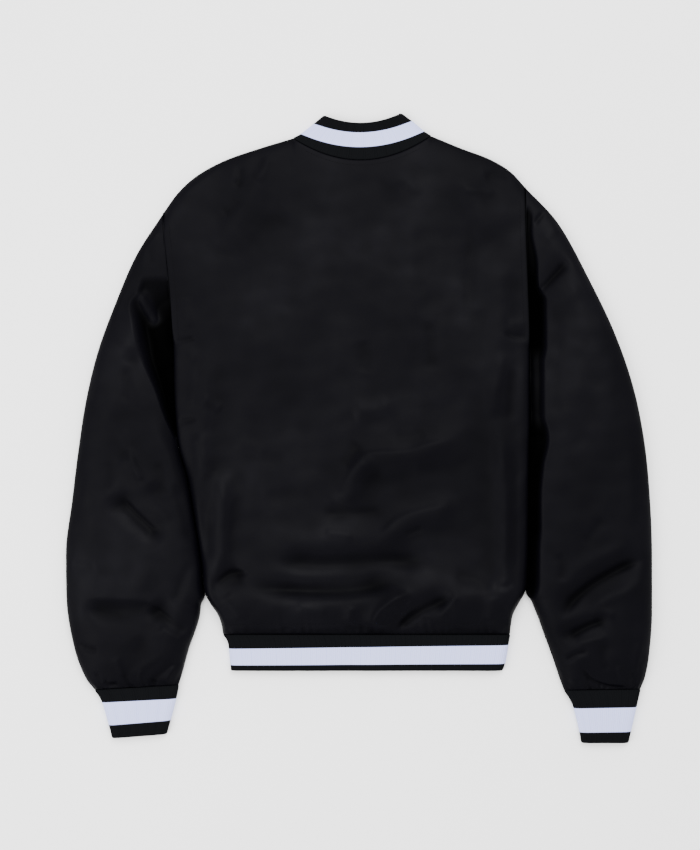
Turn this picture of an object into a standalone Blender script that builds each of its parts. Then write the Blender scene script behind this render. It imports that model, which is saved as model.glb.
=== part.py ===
"""Varsity jacket of black satin with striped rib trim, laid flat on its front with the back up.

Metres, +Z up from the surface it lies on, +Y towards the collar, +X towards the wearer's right arm.
The origin is on the surface, under the middle of the jacket's outline.

The body is one flattened tube, drawn as two height fields over the same outline: the back panel is
the upper one, and the two fronts are the lower one, which lies on the surface. Each sleeve, cuff,
the hem rib and the collar is a flattened tube or strip through sections. Every wall has its outer
points worked out first, and its inner points are those points moved inwards by the wall's
thickness. Ribs are raised between the outer points alone, and the underside is left flat.
"""

import math
from collections import namedtuple

import bpy
import numpy as np

# ---------------------------------------------------------------- sizes, in metres
SHELL_WALL = 0.002  # satin with its lining
RIB_WALL = 0.003  # rib knit, folded double
SEAM_GAP = 0.0004  # between two pieces at a seam
NECK_GAP = 0.0007  # the same along the steep neckline, measured up the jacket
RIB_DEPTH = 0.0009  # from the bottom of a groove to the top of a rib
RIB_PITCH = 0.005

CENTRE_FRONT_X = 0.006
PLACKET_HALF = 0.015  # each front runs this far past the centre front
SNAP_RADIUS = 0.0075
SNAP_HEIGHT = 0.0020
SNAP_FOOT_RADIUS = 0.0069  # where its rounded edge meets the surface
SNAP_COUNT = 7
SNAP_TOP_Y = 0.275
SNAP_BOTTOM_Y = -0.292
LEFT_LIFT = SNAP_HEIGHT + SEAM_GAP  # the left front lies on the snap caps
RIGHT_LIFT = LEFT_LIFT + RIB_WALL + SEAM_GAP  # the right front lies on the left one
LIFT_MARGIN = 0.002  # past the other front's edge, before a front comes down
LIFT_RAMP = 0.016  # length over which it comes down

FOLD_Z = 0.0065  # height of the side, shoulder and neck folds
UNDER_REACH = 0.011  # how far in from a fold the lower layer reaches the surface
SHOULDER_REACH = 0.036  # how far in from the shoulder seam the back reaches its full height
ARMHOLE_REACH = 0.030  # the same, along the armhole seam from its two ends
NECK_REACH = 0.012
NECK_TURN = 0.010  # over which a wall's rim turns from the shoulder fold to the neck seam

HEM_SEAM_Y = -0.268

# ---------------------------------------------------------------- tables
# The body at a height up the jacket: its two side folds, the height of the back above the
# surface, the height of the folds, and how far in from them the back reaches its height.
BodyRow = namedtuple("BodyRow", "y left_x right_x loft fold_z reach")
BODY_ROWS = (
    BodyRow(HEM_SEAM_Y, -0.1770, 0.1965, 0.0140, 0.0070, 0.012),
    BodyRow(-0.256, -0.1790, 0.1978, 0.0210, 0.0080, 0.018),
    BodyRow(-0.242, -0.1840, 0.2005, 0.0260, 0.0090, 0.026),
    BodyRow(-0.228, -0.1935, 0.2075, 0.0280, 0.0090, 0.030),
    BodyRow(-0.214, -0.2005, 0.2155, 0.0275, 0.0085, 0.030),
    BodyRow(-0.179, -0.2045, 0.2195, 0.0215, 0.0080, 0.028),
    BodyRow(-0.120, -0.2140, 0.2205, 0.0165, 0.0075, 0.026),
    BodyRow(-0.064, -0.2240, 0.2210, 0.0150, 0.0070, 0.024),
    BodyRow(-0.027, -0.2345, 0.2215, 0.0145, FOLD_Z, 0.024),
    BodyRow(0.014, -0.2390, 0.2225, 0.0140, FOLD_Z, 0.024),
    BodyRow(0.056, -0.2410, 0.2225, 0.0140, FOLD_Z, 0.024),
    BodyRow(0.110, -0.2418, 0.2222, 0.0140, FOLD_Z, 0.024),
    BodyRow(0.179, -0.2458, 0.2198, 0.0140, FOLD_Z, 0.024),
    BodyRow(0.228, -0.2508, 0.2180, 0.0140, FOLD_Z, 0.024),
    BodyRow(0.280, -0.2548, 0.2165, 0.0140, FOLD_Z, 0.024),
    BodyRow(0.330, -0.2548, 0.2165, 0.0140, FOLD_Z, 0.024),
    BodyRow(0.380, -0.2548, 0.2165, 0.0135, FOLD_Z, 0.024),
)
SIGN = {"left": -1, "right": 1}
BESIDE_GAP = 0.001  # between a body's side fold and the sleeve that lies against it
BESIDE_END_Y = {"left": -0.205, "right": -0.200}  # where the body turns in from the sleeve
BESIDE_EASE = 0.030
UNDERARM_Y = {"left": 0.112, "right": 0.107}

# The shoulder line, from each shoulder point to the neck point.
ShoulderRow = namedtuple("ShoulderRow", "x y")
LEFT_SHOULDER = (
    ShoulderRow(-0.2548, 0.2795),
    ShoulderRow(-0.2390, 0.3020),
    ShoulderRow(-0.2250, 0.3170),
    ShoulderRow(-0.2070, 0.3310),
    ShoulderRow(-0.1760, 0.3475),
    ShoulderRow(-0.1290, 0.3640),
    ShoulderRow(-0.0860, 0.3770),
)
RIGHT_SHOULDER = (
    ShoulderRow(0.0940, 0.3800),
    ShoulderRow(0.1330, 0.3640),
    ShoulderRow(0.1740, 0.3480),
    ShoulderRow(0.1990, 0.3320),
    ShoulderRow(0.2165, 0.3130),
)
LEFT_NECK, RIGHT_NECK = LEFT_SHOULDER[-1], RIGHT_SHOULDER[0]
SHOULDER_POINT = {"left": LEFT_SHOULDER[0], "right": RIGHT_SHOULDER[-1]}

# The collar from its seam to its top edge: where it folds at each side, and how far its back and
# its front dip below the line between the two folds.
CollarRow = namedtuple(
    "CollarRow", "share left_x left_y right_x right_y back_dip front_dip loft fold_z"
)
COLLAR_ROWS = (
    CollarRow(0.00, -0.0860, 0.3770, 0.0940, 0.3800, 0.0300, 0.0855, 0.0130, FOLD_Z),
    CollarRow(0.25, -0.0760, 0.3822, 0.0850, 0.3856, 0.0190, 0.0730, 0.0135, 0.0066),
    CollarRow(0.70, -0.0590, 0.3955, 0.0690, 0.3990, 0.0135, 0.0695, 0.0130, 0.0064),
    CollarRow(1.00, -0.0456, 0.4066, 0.0551, 0.4095, 0.0112, 0.0670, 0.0120, 0.0060),
)
COLLAR_END_GAP = 0.003  # from the centre front to each end of the collar

# The hem rib from its seam to its end.
HemRow = namedtuple("HemRow", "y left_x right_x loft")
HEM_ROWS = (
    HemRow(HEM_SEAM_Y - SEAM_GAP, -0.1770, 0.1965, 0.0140),
    HemRow(-0.2790, -0.1705, 0.1945, 0.0150),
    HemRow(-0.3030, -0.1675, 0.1905, 0.0148),
    HemRow(-0.3155, -0.1665, 0.1865, 0.0135),
)
HEM_FOLD_Z = 0.007
HEM_REACH = 0.011

# A sleeve or cuff from its seam to its end: the two ends of each section, at the outer fold and
# at the fold next to the body, its height, the height of its folds, and how far in from each
# fold it reaches its full height.
TubeRow = namedtuple(
    "TubeRow", "outer_x outer_y inner_x inner_y loft fold_z outer_reach inner_reach"
)
SLEEVES = {
    "left": (
        TubeRow(-0.2548, 0.2795, -0.2418, 0.1120, 0.0140, FOLD_Z, 0.030, 0.030),
        TubeRow(-0.2900, 0.2240, -0.2440, 0.0760, 0.0190, 0.0085, 0.040, 0.046),
        TubeRow(-0.3170, 0.1610, -0.2438, 0.0340, 0.0230, 0.0100, 0.042, 0.050),
        TubeRow(-0.3395, 0.0990, -0.2415, -0.0080, 0.0255, 0.0110, 0.044, 0.044),
        TubeRow(-0.3550, 0.0350, -0.2330, -0.0450, 0.0265, 0.0110, 0.044, 0.032),
        TubeRow(-0.3650, -0.0300, -0.2215, -0.0930, 0.0270, 0.0110, 0.044, 0.026),
        TubeRow(-0.3730, -0.0950, -0.2125, -0.1440, 0.0270, 0.0110, 0.044, 0.026),
        TubeRow(-0.3810, -0.1620, -0.2045, -0.1930, 0.0270, 0.0110, 0.044, 0.028),
        TubeRow(-0.3800, -0.2260, -0.2065, -0.2400, 0.0280, 0.0110, 0.044, 0.034),
        TubeRow(-0.3695, -0.2880, -0.2215, -0.2880, 0.0265, 0.0105, 0.038, 0.034),
        TubeRow(-0.3560, -0.3240, -0.2300, -0.3190, 0.0210, 0.0090, 0.026, 0.024),
        TubeRow(-0.3445, -0.3400, -0.2345, -0.3335, 0.0135, 0.0067, 0.012, 0.012),
    ),
    "right": (
        TubeRow(0.2165, 0.3130, 0.2220, 0.1070, 0.0140, FOLD_Z, 0.030, 0.030),
        TubeRow(0.2600, 0.2650, 0.2246, 0.0690, 0.0190, 0.0085, 0.040, 0.034),
        TubeRow(0.3000, 0.1920, 0.2256, 0.0250, 0.0230, 0.0100, 0.042, 0.030),
        TubeRow(0.3330, 0.1220, 0.2252, -0.0200, 0.0255, 0.0110, 0.044, 0.028),
        TubeRow(0.3570, 0.0520, 0.2242, -0.0670, 0.0265, 0.0110, 0.044, 0.026),
        TubeRow(0.3715, -0.0210, 0.2234, -0.1150, 0.0270, 0.0110, 0.044, 0.026),
        TubeRow(0.3785, -0.0960, 0.2228, -0.1620, 0.0270, 0.0110, 0.044, 0.026),
        TubeRow(0.3810, -0.1700, 0.2215, -0.2080, 0.0275, 0.0110, 0.044, 0.028),
        TubeRow(0.3810, -0.2380, 0.2310, -0.2520, 0.0280, 0.0110, 0.042, 0.034),
        TubeRow(0.3775, -0.2920, 0.2475, -0.2960, 0.0265, 0.0105, 0.038, 0.034),
        TubeRow(0.3725, -0.3220, 0.2580, -0.3240, 0.0210, 0.0090, 0.026, 0.026),
        TubeRow(0.3665, -0.3390, 0.2665, -0.3405, 0.0135, 0.0067, 0.012, 0.012),
    ),
}
CUFFS = {
    "left": (
        TubeRow(-0.3445, -0.3400, -0.2345, -0.3335, 0.0135, 0.0067, 0.011, 0.011),
        TubeRow(-0.3345, -0.3560, -0.2380, -0.3510, 0.0145, 0.0068, 0.011, 0.011),
        TubeRow(-0.3255, -0.3860, -0.2455, -0.3795, 0.0142, 0.0066, 0.011, 0.011),
        TubeRow(-0.3212, -0.4035, -0.2505, -0.3980, 0.0130, 0.0062, 0.010, 0.010),
    ),
    "right": (
        TubeRow(0.3665, -0.3390, 0.2665, -0.3405, 0.0135, 0.0067, 0.011, 0.011),
        TubeRow(0.3620, -0.3580, 0.2780, -0.3595, 0.0145, 0.0068, 0.011, 0.011),
        TubeRow(0.3540, -0.3930, 0.2870, -0.3940, 0.0142, 0.0066, 0.011, 0.011),
        TubeRow(0.3505, -0.4095, 0.2895, -0.4095, 0.0130, 0.0062, 0.010, 0.010),
    ),
}

# The largest folds of the upper side: the middle of each, the way it runs in degrees from +X, its
# length and width, its height over the cloth round it (below it where negative), and how far its
# ends bend to its left.
FoldRow = namedtuple("FoldRow", "x y angle length width height bend")
FOLDS = (
    # back, down both sides
    FoldRow(-0.203, -0.020, 88, 0.260, 0.016, 0.0045, 0.004),
    FoldRow(-0.181, -0.140, 84, 0.200, 0.014, 0.0050, 0.000),
    FoldRow(0.186, -0.110, 92, 0.300, 0.015, 0.0050, 0.000),
    FoldRow(0.178, 0.120, 86, 0.240, 0.018, 0.0030, 0.000),
    # back, across the shoulders and the middle
    FoldRow(-0.150, 0.285, 62, 0.130, 0.018, 0.0035, 0.000),
    FoldRow(0.150, 0.290, 118, 0.110, 0.018, 0.0035, 0.000),
    FoldRow(0.060, -0.032, 13, 0.190, 0.020, 0.0060, 0.004),
    FoldRow(-0.006, -0.068, 61, 0.080, 0.015, 0.0050, 0.000),
    FoldRow(0.075, -0.113, 23, 0.140, 0.017, 0.0050, -0.006),
    FoldRow(-0.030, -0.145, 2, 0.220, 0.018, 0.0040, 0.000),
    FoldRow(-0.010, -0.174, 2, 0.220, 0.016, -0.0045, 0.000),
    # back, where it blouses over the hem rib
    FoldRow(-0.042, -0.204, 4, 0.230, 0.014, -0.0070, 0.004),
    FoldRow(-0.172, -0.196, 20, 0.055, 0.013, -0.0045, -0.006),
    FoldRow(0.034, -0.236, 52, 0.080, 0.013, 0.0050, 0.000),
    FoldRow(0.080, -0.236, 25, 0.100, 0.013, -0.0055, 0.000),
    FoldRow(0.150, -0.214, 12, 0.110, 0.016, 0.0035, 0.000),
    # right sleeve
    FoldRow(0.248, 0.196, 43, 0.070, 0.014, -0.0040, 0.000),
    FoldRow(0.312, -0.202, 33, 0.150, 0.016, -0.0075, 0.006),
    FoldRow(0.290, -0.259, 21, 0.080, 0.013, -0.0055, 0.000),
    # left sleeve
    FoldRow(-0.290, 0.128, 76, 0.090, 0.016, 0.0035, 0.000),
    FoldRow(-0.286, -0.057, -54, 0.070, 0.015, 0.0045, 0.000),
    FoldRow(-0.285, -0.114, -43, 0.100, 0.016, -0.0065, 0.000),
    FoldRow(-0.300, -0.226, -3, 0.130, 0.015, -0.0065, 0.000),
    FoldRow(-0.243, -0.248, -38, 0.070, 0.014, -0.0055, 0.000),
)

SATIN = ("satin_black", (0.012, 0.012, 0.015), 0.42, 0.0)
RIB = ("rib_knit_black", (0.010, 0.011, 0.014), 0.85, 0.0)
CAP = ("snap_cap_black", (0.015, 0.015, 0.017), 0.30, 0.8)


# ---------------------------------------------------------------- curves
def through(stations, values, at):
    """A smooth curve through a table's points that doesn't overshoot: one cubic between stations."""
    stations, values = np.asarray(stations, float), np.asarray(values, float)
    steps = np.diff(stations)
    rises = np.diff(values) / steps
    slopes = np.concatenate([rises[:1], (rises[1:] + rises[:-1]) / 2, rises[-1:]])
    slopes[1:-1][rises[1:] * rises[:-1] <= 0] = 0
    limit = 3 * np.minimum(np.abs(rises[1:]), np.abs(rises[:-1]))
    slopes[1:-1] = np.clip(slopes[1:-1], -limit, limit)
    at = np.clip(at, stations[0], stations[-1])
    spot = np.clip(np.searchsorted(stations, at, side="right") - 1, 0, len(steps) - 1)
    t = (at - stations[spot]) / steps[spot]
    return (
        values[spot] * (1 + 2 * t) * (1 - t) ** 2
        + slopes[spot] * steps[spot] * t * (1 - t) ** 2
        + values[spot + 1] * t**2 * (3 - 2 * t)
        + slopes[spot + 1] * steps[spot] * t**2 * (t - 1)
    )


def column(rows, name):
    return np.array([getattr(row, name) for row in rows])


def read(rows, key, name, at):
    """One column of a table as a smooth function of another."""
    return through(column(rows, key), column(rows, name), at)


def body(name, y):
    return read(BODY_ROWS, "y", name, y)


def rounded(distance, reach):
    """0 at a fold and 1 from reach inwards, along a quarter of an ellipse."""
    return np.sqrt(1 - (1 - np.clip(distance / reach, 0, 1)) ** 2)


def eased(t):
    t = np.clip(t, 0, 1)
    return t * t * (3 - 2 * t)


def round_steps(reach, steps):
    """Distances from a fold that divide its quarter ellipse evenly."""
    return reach * (1 - np.cos(np.linspace(0, math.pi / 2, steps + 1)))


def stations(start, end, start_reach, end_reach, round_count, middle_count):
    """Numbers from start to end, close together near the rounded ends."""
    first = start + round_steps(start_reach, round_count)
    last = end - round_steps(end_reach, round_count)[::-1]
    middle = np.linspace(first[-1], last[0], middle_count + 1)[1:-1]
    return np.concatenate([first, middle, last])


def folds_height(x, y):
    """The sum of the table's folds: each is a bell across its run that fades out at both ends."""
    total = np.zeros_like(x)
    for fold in FOLDS:
        turn = math.radians(fold.angle)
        along = (x - fold.x) * math.cos(turn) + (y - fold.y) * math.sin(turn)
        across = (y - fold.y) * math.cos(turn) - (x - fold.x) * math.sin(turn)
        half = fold.length / 2
        across = across - fold.bend * (along / half) ** 2
        window = eased(2 * (1 - np.abs(along) / half))
        total += fold.height * np.exp(-((across / fold.width) ** 2)) * window
    return total


# ---------------------------------------------------------------- the body's heights
def shoulder_y(x):
    left = read(LEFT_SHOULDER, "x", "y", x)
    right = read(RIGHT_SHOULDER, "x", "y", x)
    return np.where(x < CENTRE_FRONT_X, left, right)


def collar_level(share):
    """One level of the collar, from 0 at its seam to 1 at its top edge."""
    return CollarRow(*(read(COLLAR_ROWS, "share", name, share) for name in CollarRow._fields))


def collar_y(level, x, dip):
    """The collar's line at one level: a parabola that dips between the two folds."""
    across = (x - level.left_x) / (level.right_x - level.left_x)
    return level.left_y + (level.right_y - level.left_y) * across - dip * 4 * across * (1 - across)


def collar_height(level, x, upper):
    """Height of the collar's upper or lower layer, rounded at its two folds."""
    inwards = np.minimum(x - level.left_x, level.right_x - x)
    if upper:
        return level.fold_z + (level.loft - level.fold_z) * rounded(inwards, NECK_REACH)
    return level.fold_z * (1 - rounded(inwards, UNDER_REACH))


def in_neck(x):
    return (x > LEFT_NECK.x) & (x < RIGHT_NECK.x)


def top_y(x, neck_dip):
    """The upper edge of the back or of the fronts: shoulder, neckline, shoulder."""
    return np.where(in_neck(x), collar_y(COLLAR_ROWS[0], x, neck_dip), shoulder_y(x))


def armhole_share(side, y, reach):
    """0 below the underarm and from the shoulder point up, 1 along most of the armhole seam."""
    return rounded(y - UNDERARM_Y[side], reach) * rounded(SHOULDER_POINT[side].y - y, reach)


def side_height(side, y, upper):
    """Height of the body's edge: the side fold, and above the underarm the armhole seam."""
    fold = body("fold_z", y)
    if upper:
        return fold + (body("loft", y) - fold) * armhole_share(side, y, ARMHOLE_REACH)
    return fold * (1 - armhole_share(side, y, UNDER_REACH))


def least_height(x):
    """The lowest the back can lie: on the fronts, and higher where their plackets overlap."""
    beside = np.abs(x - CENTRE_FRONT_X) - PLACKET_HALF - LIFT_MARGIN
    return 2 * SHELL_WALL + 2 * SEAM_GAP + RIGHT_LIFT * eased(1 - beside / LIFT_RAMP)


def back_height(x, y):
    """The back panel: rounded down to the side folds, the armholes, the shoulders and the neck."""
    reach = body("reach", y)
    left_share = 1 - rounded(x - body("left_x", y), reach)
    right_share = 1 - rounded(body("right_x", y) - x, reach)
    middle = body("loft", y) + folds_height(x, y) * eased((y - HEM_SEAM_Y) / 0.015)
    middle = np.maximum(middle, least_height(x))
    height = (
        middle * (1 - left_share - right_share)
        + side_height("left", y, True) * left_share
        + side_height("right", y, True) * right_share
    )
    at_top = np.where(in_neck(x), collar_height(COLLAR_ROWS[0], x, True), FOLD_Z)
    inwards = top_y(x, COLLAR_ROWS[0].back_dip) - y
    return at_top + (height - at_top) * rounded(inwards, SHOULDER_REACH)


def placket_lift(side, x):
    """How far the lower layer stands off the surface where the two fronts overlap."""
    if side == "left":
        start = CENTRE_FRONT_X - PLACKET_HALF - LIFT_MARGIN - LIFT_RAMP
        return LEFT_LIFT * eased((x - start) / LIFT_RAMP)
    start = CENTRE_FRONT_X + PLACKET_HALF + LIFT_MARGIN + LIFT_RAMP
    return RIGHT_LIFT * eased((start - x) / LIFT_RAMP)


def front_height(side, x, y):
    """A front panel: on the surface, turned up at the side, shoulder and neck, and at the placket."""
    edge = body(side + "_x", y)
    share = 1 - rounded(np.abs(x - edge), UNDER_REACH)
    height = side_height(side, y, False) * share
    at_top = np.where(in_neck(x), collar_height(COLLAR_ROWS[0], x, False), FOLD_Z)
    inwards = top_y(x, COLLAR_ROWS[0].front_dip) - y
    return at_top + (height - at_top) * rounded(inwards, UNDER_REACH) + placket_lift(side, x)


# ---------------------------------------------------------------- walls
def unit(vectors):
    return vectors / np.maximum(np.linalg.norm(vectors, axis=-1, keepdims=True), 1e-9)


def without(normals, direction):
    """The normals with their part along a direction taken out, so that a rim lies across it."""
    direction = unit(np.asarray(direction, float))
    return unit(normals - (normals * direction).sum(-1, keepdims=True) * direction)


def blend(first, second, share):
    return unit(first * (1 - share[:, None]) + second * share[:, None])


def grid_normals(grid, wrap, outwards):
    """Normals of a grid of points, all turned to the side that the outwards vectors point to."""
    if wrap:
        padded = np.concatenate([grid[:, -1:], grid, grid[:, :1]], axis=1)
        across = (padded[:, 2:] - padded[:, :-2]) / 2
    else:
        across = np.gradient(grid, axis=1)
    normals = unit(np.cross(np.gradient(grid, axis=0), across))
    return normals * np.sign((normals * outwards).sum())


def material(name, colour, roughness, metallic):
    made = bpy.data.materials.get(name) or bpy.data.materials.new(name)
    made.use_nodes = True
    shader = made.node_tree.nodes["Principled BSDF"]
    shader.inputs["Base Color"].default_value = (*colour, 1)
    shader.inputs["Roughness"].default_value = roughness
    shader.inputs["Metallic"].default_value = metallic
    return made


def volume_of(points, faces):
    total = 0.0
    for face in faces:
        for i in range(1, len(face) - 1):
            a, b, c = points[face[0]], points[face[i]], points[face[i + 1]]
            total += float(np.dot(a, np.cross(b, c)))
    return total / 6


def wall(name, outer, inner, finish, parts, wrap=False, crests=None, ribbed=None):
    """A closed solid between two grids of points. Crests stand between two columns of the outer grid."""
    rows, columns = outer.shape[:2]
    spans = columns if wrap else columns - 1
    ribbed = np.zeros(spans, bool) if ribbed is None else ribbed
    points = [outer.reshape(-1, 3), inner.reshape(-1, 3)]
    if crests is not None:
        points.append(crests.reshape(-1, 3))
    points = np.concatenate(points)

    def out(row, number):
        return row * columns + number % columns

    def inn(row, number):
        return rows * columns + out(row, number)

    def top(row, number):
        return 2 * rows * columns + row * spans + number

    faces = []
    last = rows - 1
    for c in range(spans):
        crest_start = [top(0, c)] if ribbed[c] else []
        crest_end = [top(last, c)] if ribbed[c] else []
        faces.append([out(0, c), *crest_start, out(0, c + 1), inn(0, c + 1), inn(0, c)])
        faces.append([out(last, c + 1), *crest_end, out(last, c), inn(last, c), inn(last, c + 1)])
        for r in range(last):
            if ribbed[c]:
                faces.append([out(r, c), out(r + 1, c), top(r + 1, c), top(r, c)])
                faces.append([top(r, c), top(r + 1, c), out(r + 1, c + 1), out(r, c + 1)])
            else:
                faces.append([out(r, c), out(r + 1, c), out(r + 1, c + 1), out(r, c + 1)])
            faces.append([inn(r, c), inn(r, c + 1), inn(r + 1, c + 1), inn(r + 1, c)])
    if not wrap:
        for r in range(last):
            faces.append([out(r + 1, 0), out(r, 0), inn(r, 0), inn(r + 1, 0)])
            faces.append([out(r, spans), out(r + 1, spans), inn(r + 1, spans), inn(r, spans)])
    if volume_of(points, faces) < 0:
        faces = [face[::-1] for face in faces]
    used = sorted({number for face in faces for number in face})
    renumbered = {number: i for i, number in enumerate(used)}
    mesh = bpy.data.meshes.new(name)
    mesh.from_pydata(
        points[used].tolist(), [], [[renumbered[number] for number in face] for face in faces]
    )
    mesh.materials.append(material(*finish))
    made = bpy.data.objects.new(name, mesh)
    parts.objects.link(made)
    return made


def rib_crests(outer, normals, wrap):
    """Points midway between neighbouring columns, raised to the top of a rib."""
    if wrap:
        outer = np.concatenate([outer, outer[:, :1]], axis=1)
        normals = np.concatenate([normals, normals[:, :1]], axis=1)
    middle = (outer[:, 1:] + outer[:, :-1]) / 2
    return middle + RIB_DEPTH * unit(normals[:, 1:] + normals[:, :-1])


# ---------------------------------------------------------------- panels
def panel_grid(side_lines, top_x, upper_y, along, height):
    """Points over an area between two side lines, the hem seam and an upper edge.

    top_x holds the columns' places on the upper edge, and each keeps its share of the width
    further down.
    """
    share = (top_x - top_x[0]) / (top_x[-1] - top_x[0])
    y = HEM_SEAM_Y + (upper_y(top_x) - HEM_SEAM_Y)[None, :] * along[:, None]
    first, last = (line(y) for line in side_lines)
    x = first + (last - first) * share[None, :]
    return np.stack([x, y, height(x, y)], axis=-1)


def fold_edge(points, normals, side):
    """At a side fold the walls meet face to face up and down, and at the armhole side to side."""
    level, sideways = without(normals, (0, 0, 1)), without(normals, (1, 0, 0))
    return blend(level, sideways, eased((points[:, 1] - UNDERARM_Y[side]) / ARMHOLE_REACH))


def top_edge(points, normals):
    """At the shoulder the walls meet face to face up and down, and at the neck along the jacket."""
    level, lengthways = without(normals, (0, 0, 1)), without(normals, (0, 1, 0))
    inwards = np.minimum(points[:, 0] - LEFT_NECK.x, RIGHT_NECK.x - points[:, 0])
    return blend(level, lengthways, eased(inwards / NECK_TURN))


# Shares of a panel's length from the hem seam: close together where it blouses over the rib.
BLOUSE_SHARES = (0.0, 0.020, 0.043, 0.067, 0.092)
BACK_TOP_SHARES = (0.917, 0.952, 0.980, 0.994, 1.0)
FRONT_TOP_SHARES = (0.90, 0.972, 0.992, 1.0)


def back_panel(parts):
    reach = BODY_ROWS[-1].reach
    to_neck = stations(LEFT_SHOULDER[0].x, LEFT_NECK.x, reach, 0.012, 4, 5)
    over_neck = stations(LEFT_NECK.x, RIGHT_NECK.x, NECK_REACH, NECK_REACH, 3, 8)
    from_neck = stations(RIGHT_NECK.x, RIGHT_SHOULDER[-1].x, 0.012, reach, 4, 4)
    top_x = np.concatenate([to_neck, over_neck[1:], from_neck[1:]])
    top_x = np.delete(top_x, [len(to_neck) - 4, len(to_neck) - 3, len(to_neck) - 2])
    folded_part = np.linspace(BLOUSE_SHARES[-1], 0.45, 11)[1:]
    plain_part = np.linspace(0.45, BACK_TOP_SHARES[0], 8)[1:-1]
    along = np.concatenate([BLOUSE_SHARES, folded_part, plain_part, BACK_TOP_SHARES])
    lines = (lambda y: body("left_x", y), lambda y: body("right_x", y))
    outer = panel_grid(
        lines, top_x, lambda x: top_y(x, COLLAR_ROWS[0].back_dip), along, back_height
    )
    normals = grid_normals(outer, False, np.array([0, 0, 1]))
    normals[0] = without(normals[0], (0, 1, 0))
    normals[-1] = top_edge(outer[-1], normals[-1])
    normals[:, 0] = fold_edge(outer[:, 0], normals[:, 0], "left")
    normals[:, -1] = fold_edge(outer[:, -1], normals[:, -1], "right")
    wall("back_panel", outer, outer - SHELL_WALL * normals, SATIN, parts)


def front_panel(side, parts):
    sign = SIGN[side]
    neck = LEFT_NECK if side == "left" else RIGHT_NECK
    placket_edge = CENTRE_FRONT_X - sign * PLACKET_HALF
    ramp_start = CENTRE_FRONT_X + sign * (PLACKET_HALF + LIFT_MARGIN)
    ramp_end = ramp_start + sign * LIFT_RAMP
    fold_x = SHOULDER_POINT[side].x
    inwards = round_steps(UNDER_REACH, 3)
    outside = np.concatenate([fold_x - sign * inwards, np.linspace(fold_x, neck.x, 6)[2:-1]])
    by_neck = neck.x - sign * np.array([0, 0.002, 0.007, 0.016])
    to_ramp = np.linspace(by_neck[-1], ramp_end, 5)[1:]
    ramp = np.linspace(ramp_end, ramp_start, 3)[1:]
    placket = np.linspace(ramp_start, placket_edge, 5)[1:]
    top_x = np.concatenate([outside, by_neck, to_ramp, ramp, placket])
    along = np.concatenate([BLOUSE_SHARES[:4], np.linspace(0.12, 0.82, 7), FRONT_TOP_SHARES])
    lines = (lambda y: body(side + "_x", y), lambda y: placket_edge + 0 * y)
    outer = panel_grid(
        lines,
        top_x,
        lambda x: top_y(x, COLLAR_ROWS[0].front_dip),
        along,
        lambda x, y: front_height(side, x, y),
    )
    outer[..., 2] -= SEAM_GAP * (outer[..., 2] > FOLD_Z / 2)
    normals = grid_normals(outer, False, np.array([0, 0, -1]))
    normals[0] = without(normals[0], (0, 1, 0))
    normals[-1] = top_edge(outer[-1], normals[-1])
    normals[:, 0] = fold_edge(outer[:, 0], normals[:, 0], side)
    wall("front_" + side, outer, outer - SHELL_WALL * normals, SATIN, parts)


# ---------------------------------------------------------------- tubes
def tube_rows(rows, at):
    index = np.arange(len(rows))
    return TubeRow(*(through(index, column(rows, name), at)[:, None] for name in TubeRow._fields))


def beside_body(row, side):
    """The same rows with the inner fold laid against the body's side fold."""
    edge = body(side + "_x", row.inner_y) + SIGN[side] * BESIDE_GAP
    share = eased((row.inner_y - BESIDE_END_Y[side]) / BESIDE_EASE)
    return row._replace(inner_x=row.inner_x * (1 - share) + edge * share)


def tube_grid(row, at, last, upper, lower):
    """Points round a tube at places along its table: over its upper side, then back underneath.

    upper and lower hold shares of the width, from the outer fold to the inner one.
    """
    share = np.concatenate([upper, lower[::-1][1:-1]])[None, :]
    above = np.concatenate([np.ones(len(upper)), np.zeros(len(lower) - 2)])[None, :]
    x = row.outer_x + (row.inner_x - row.outer_x) * share
    y = row.outer_y + (row.inner_y - row.outer_y) * share
    width = np.hypot(row.inner_x - row.outer_x, row.inner_y - row.outer_y)
    from_outer, from_inner = width * share, width * (1 - share)
    rise = rounded(from_outer, row.outer_reach) * rounded(from_inner, row.inner_reach)
    drop = rounded(from_outer, UNDER_REACH) * rounded(from_inner, UNDER_REACH)
    fade = eased(at / 1.5)[:, None] * eased(last - at)[:, None]
    top = row.fold_z + (row.loft - row.fold_z + folds_height(x, y) * fade) * rise
    bottom = row.fold_z * (1 - drop)
    return np.stack([x, y, top * above + bottom * (1 - above)], axis=-1)


def tube_shares(width, reach, upper_rounds, upper_middle, lower_middle):
    upper = stations(0, 1, reach / width, reach / width, upper_rounds, upper_middle)
    lower = stations(0, 1, UNDER_REACH / width, UNDER_REACH / width, 2, lower_middle)
    return upper, lower


def section_axis(row):
    """The way a tube runs, square to one of its sections."""
    return np.array([row.inner_y - row.outer_y, row.outer_x - row.inner_x, 0.0])


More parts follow.
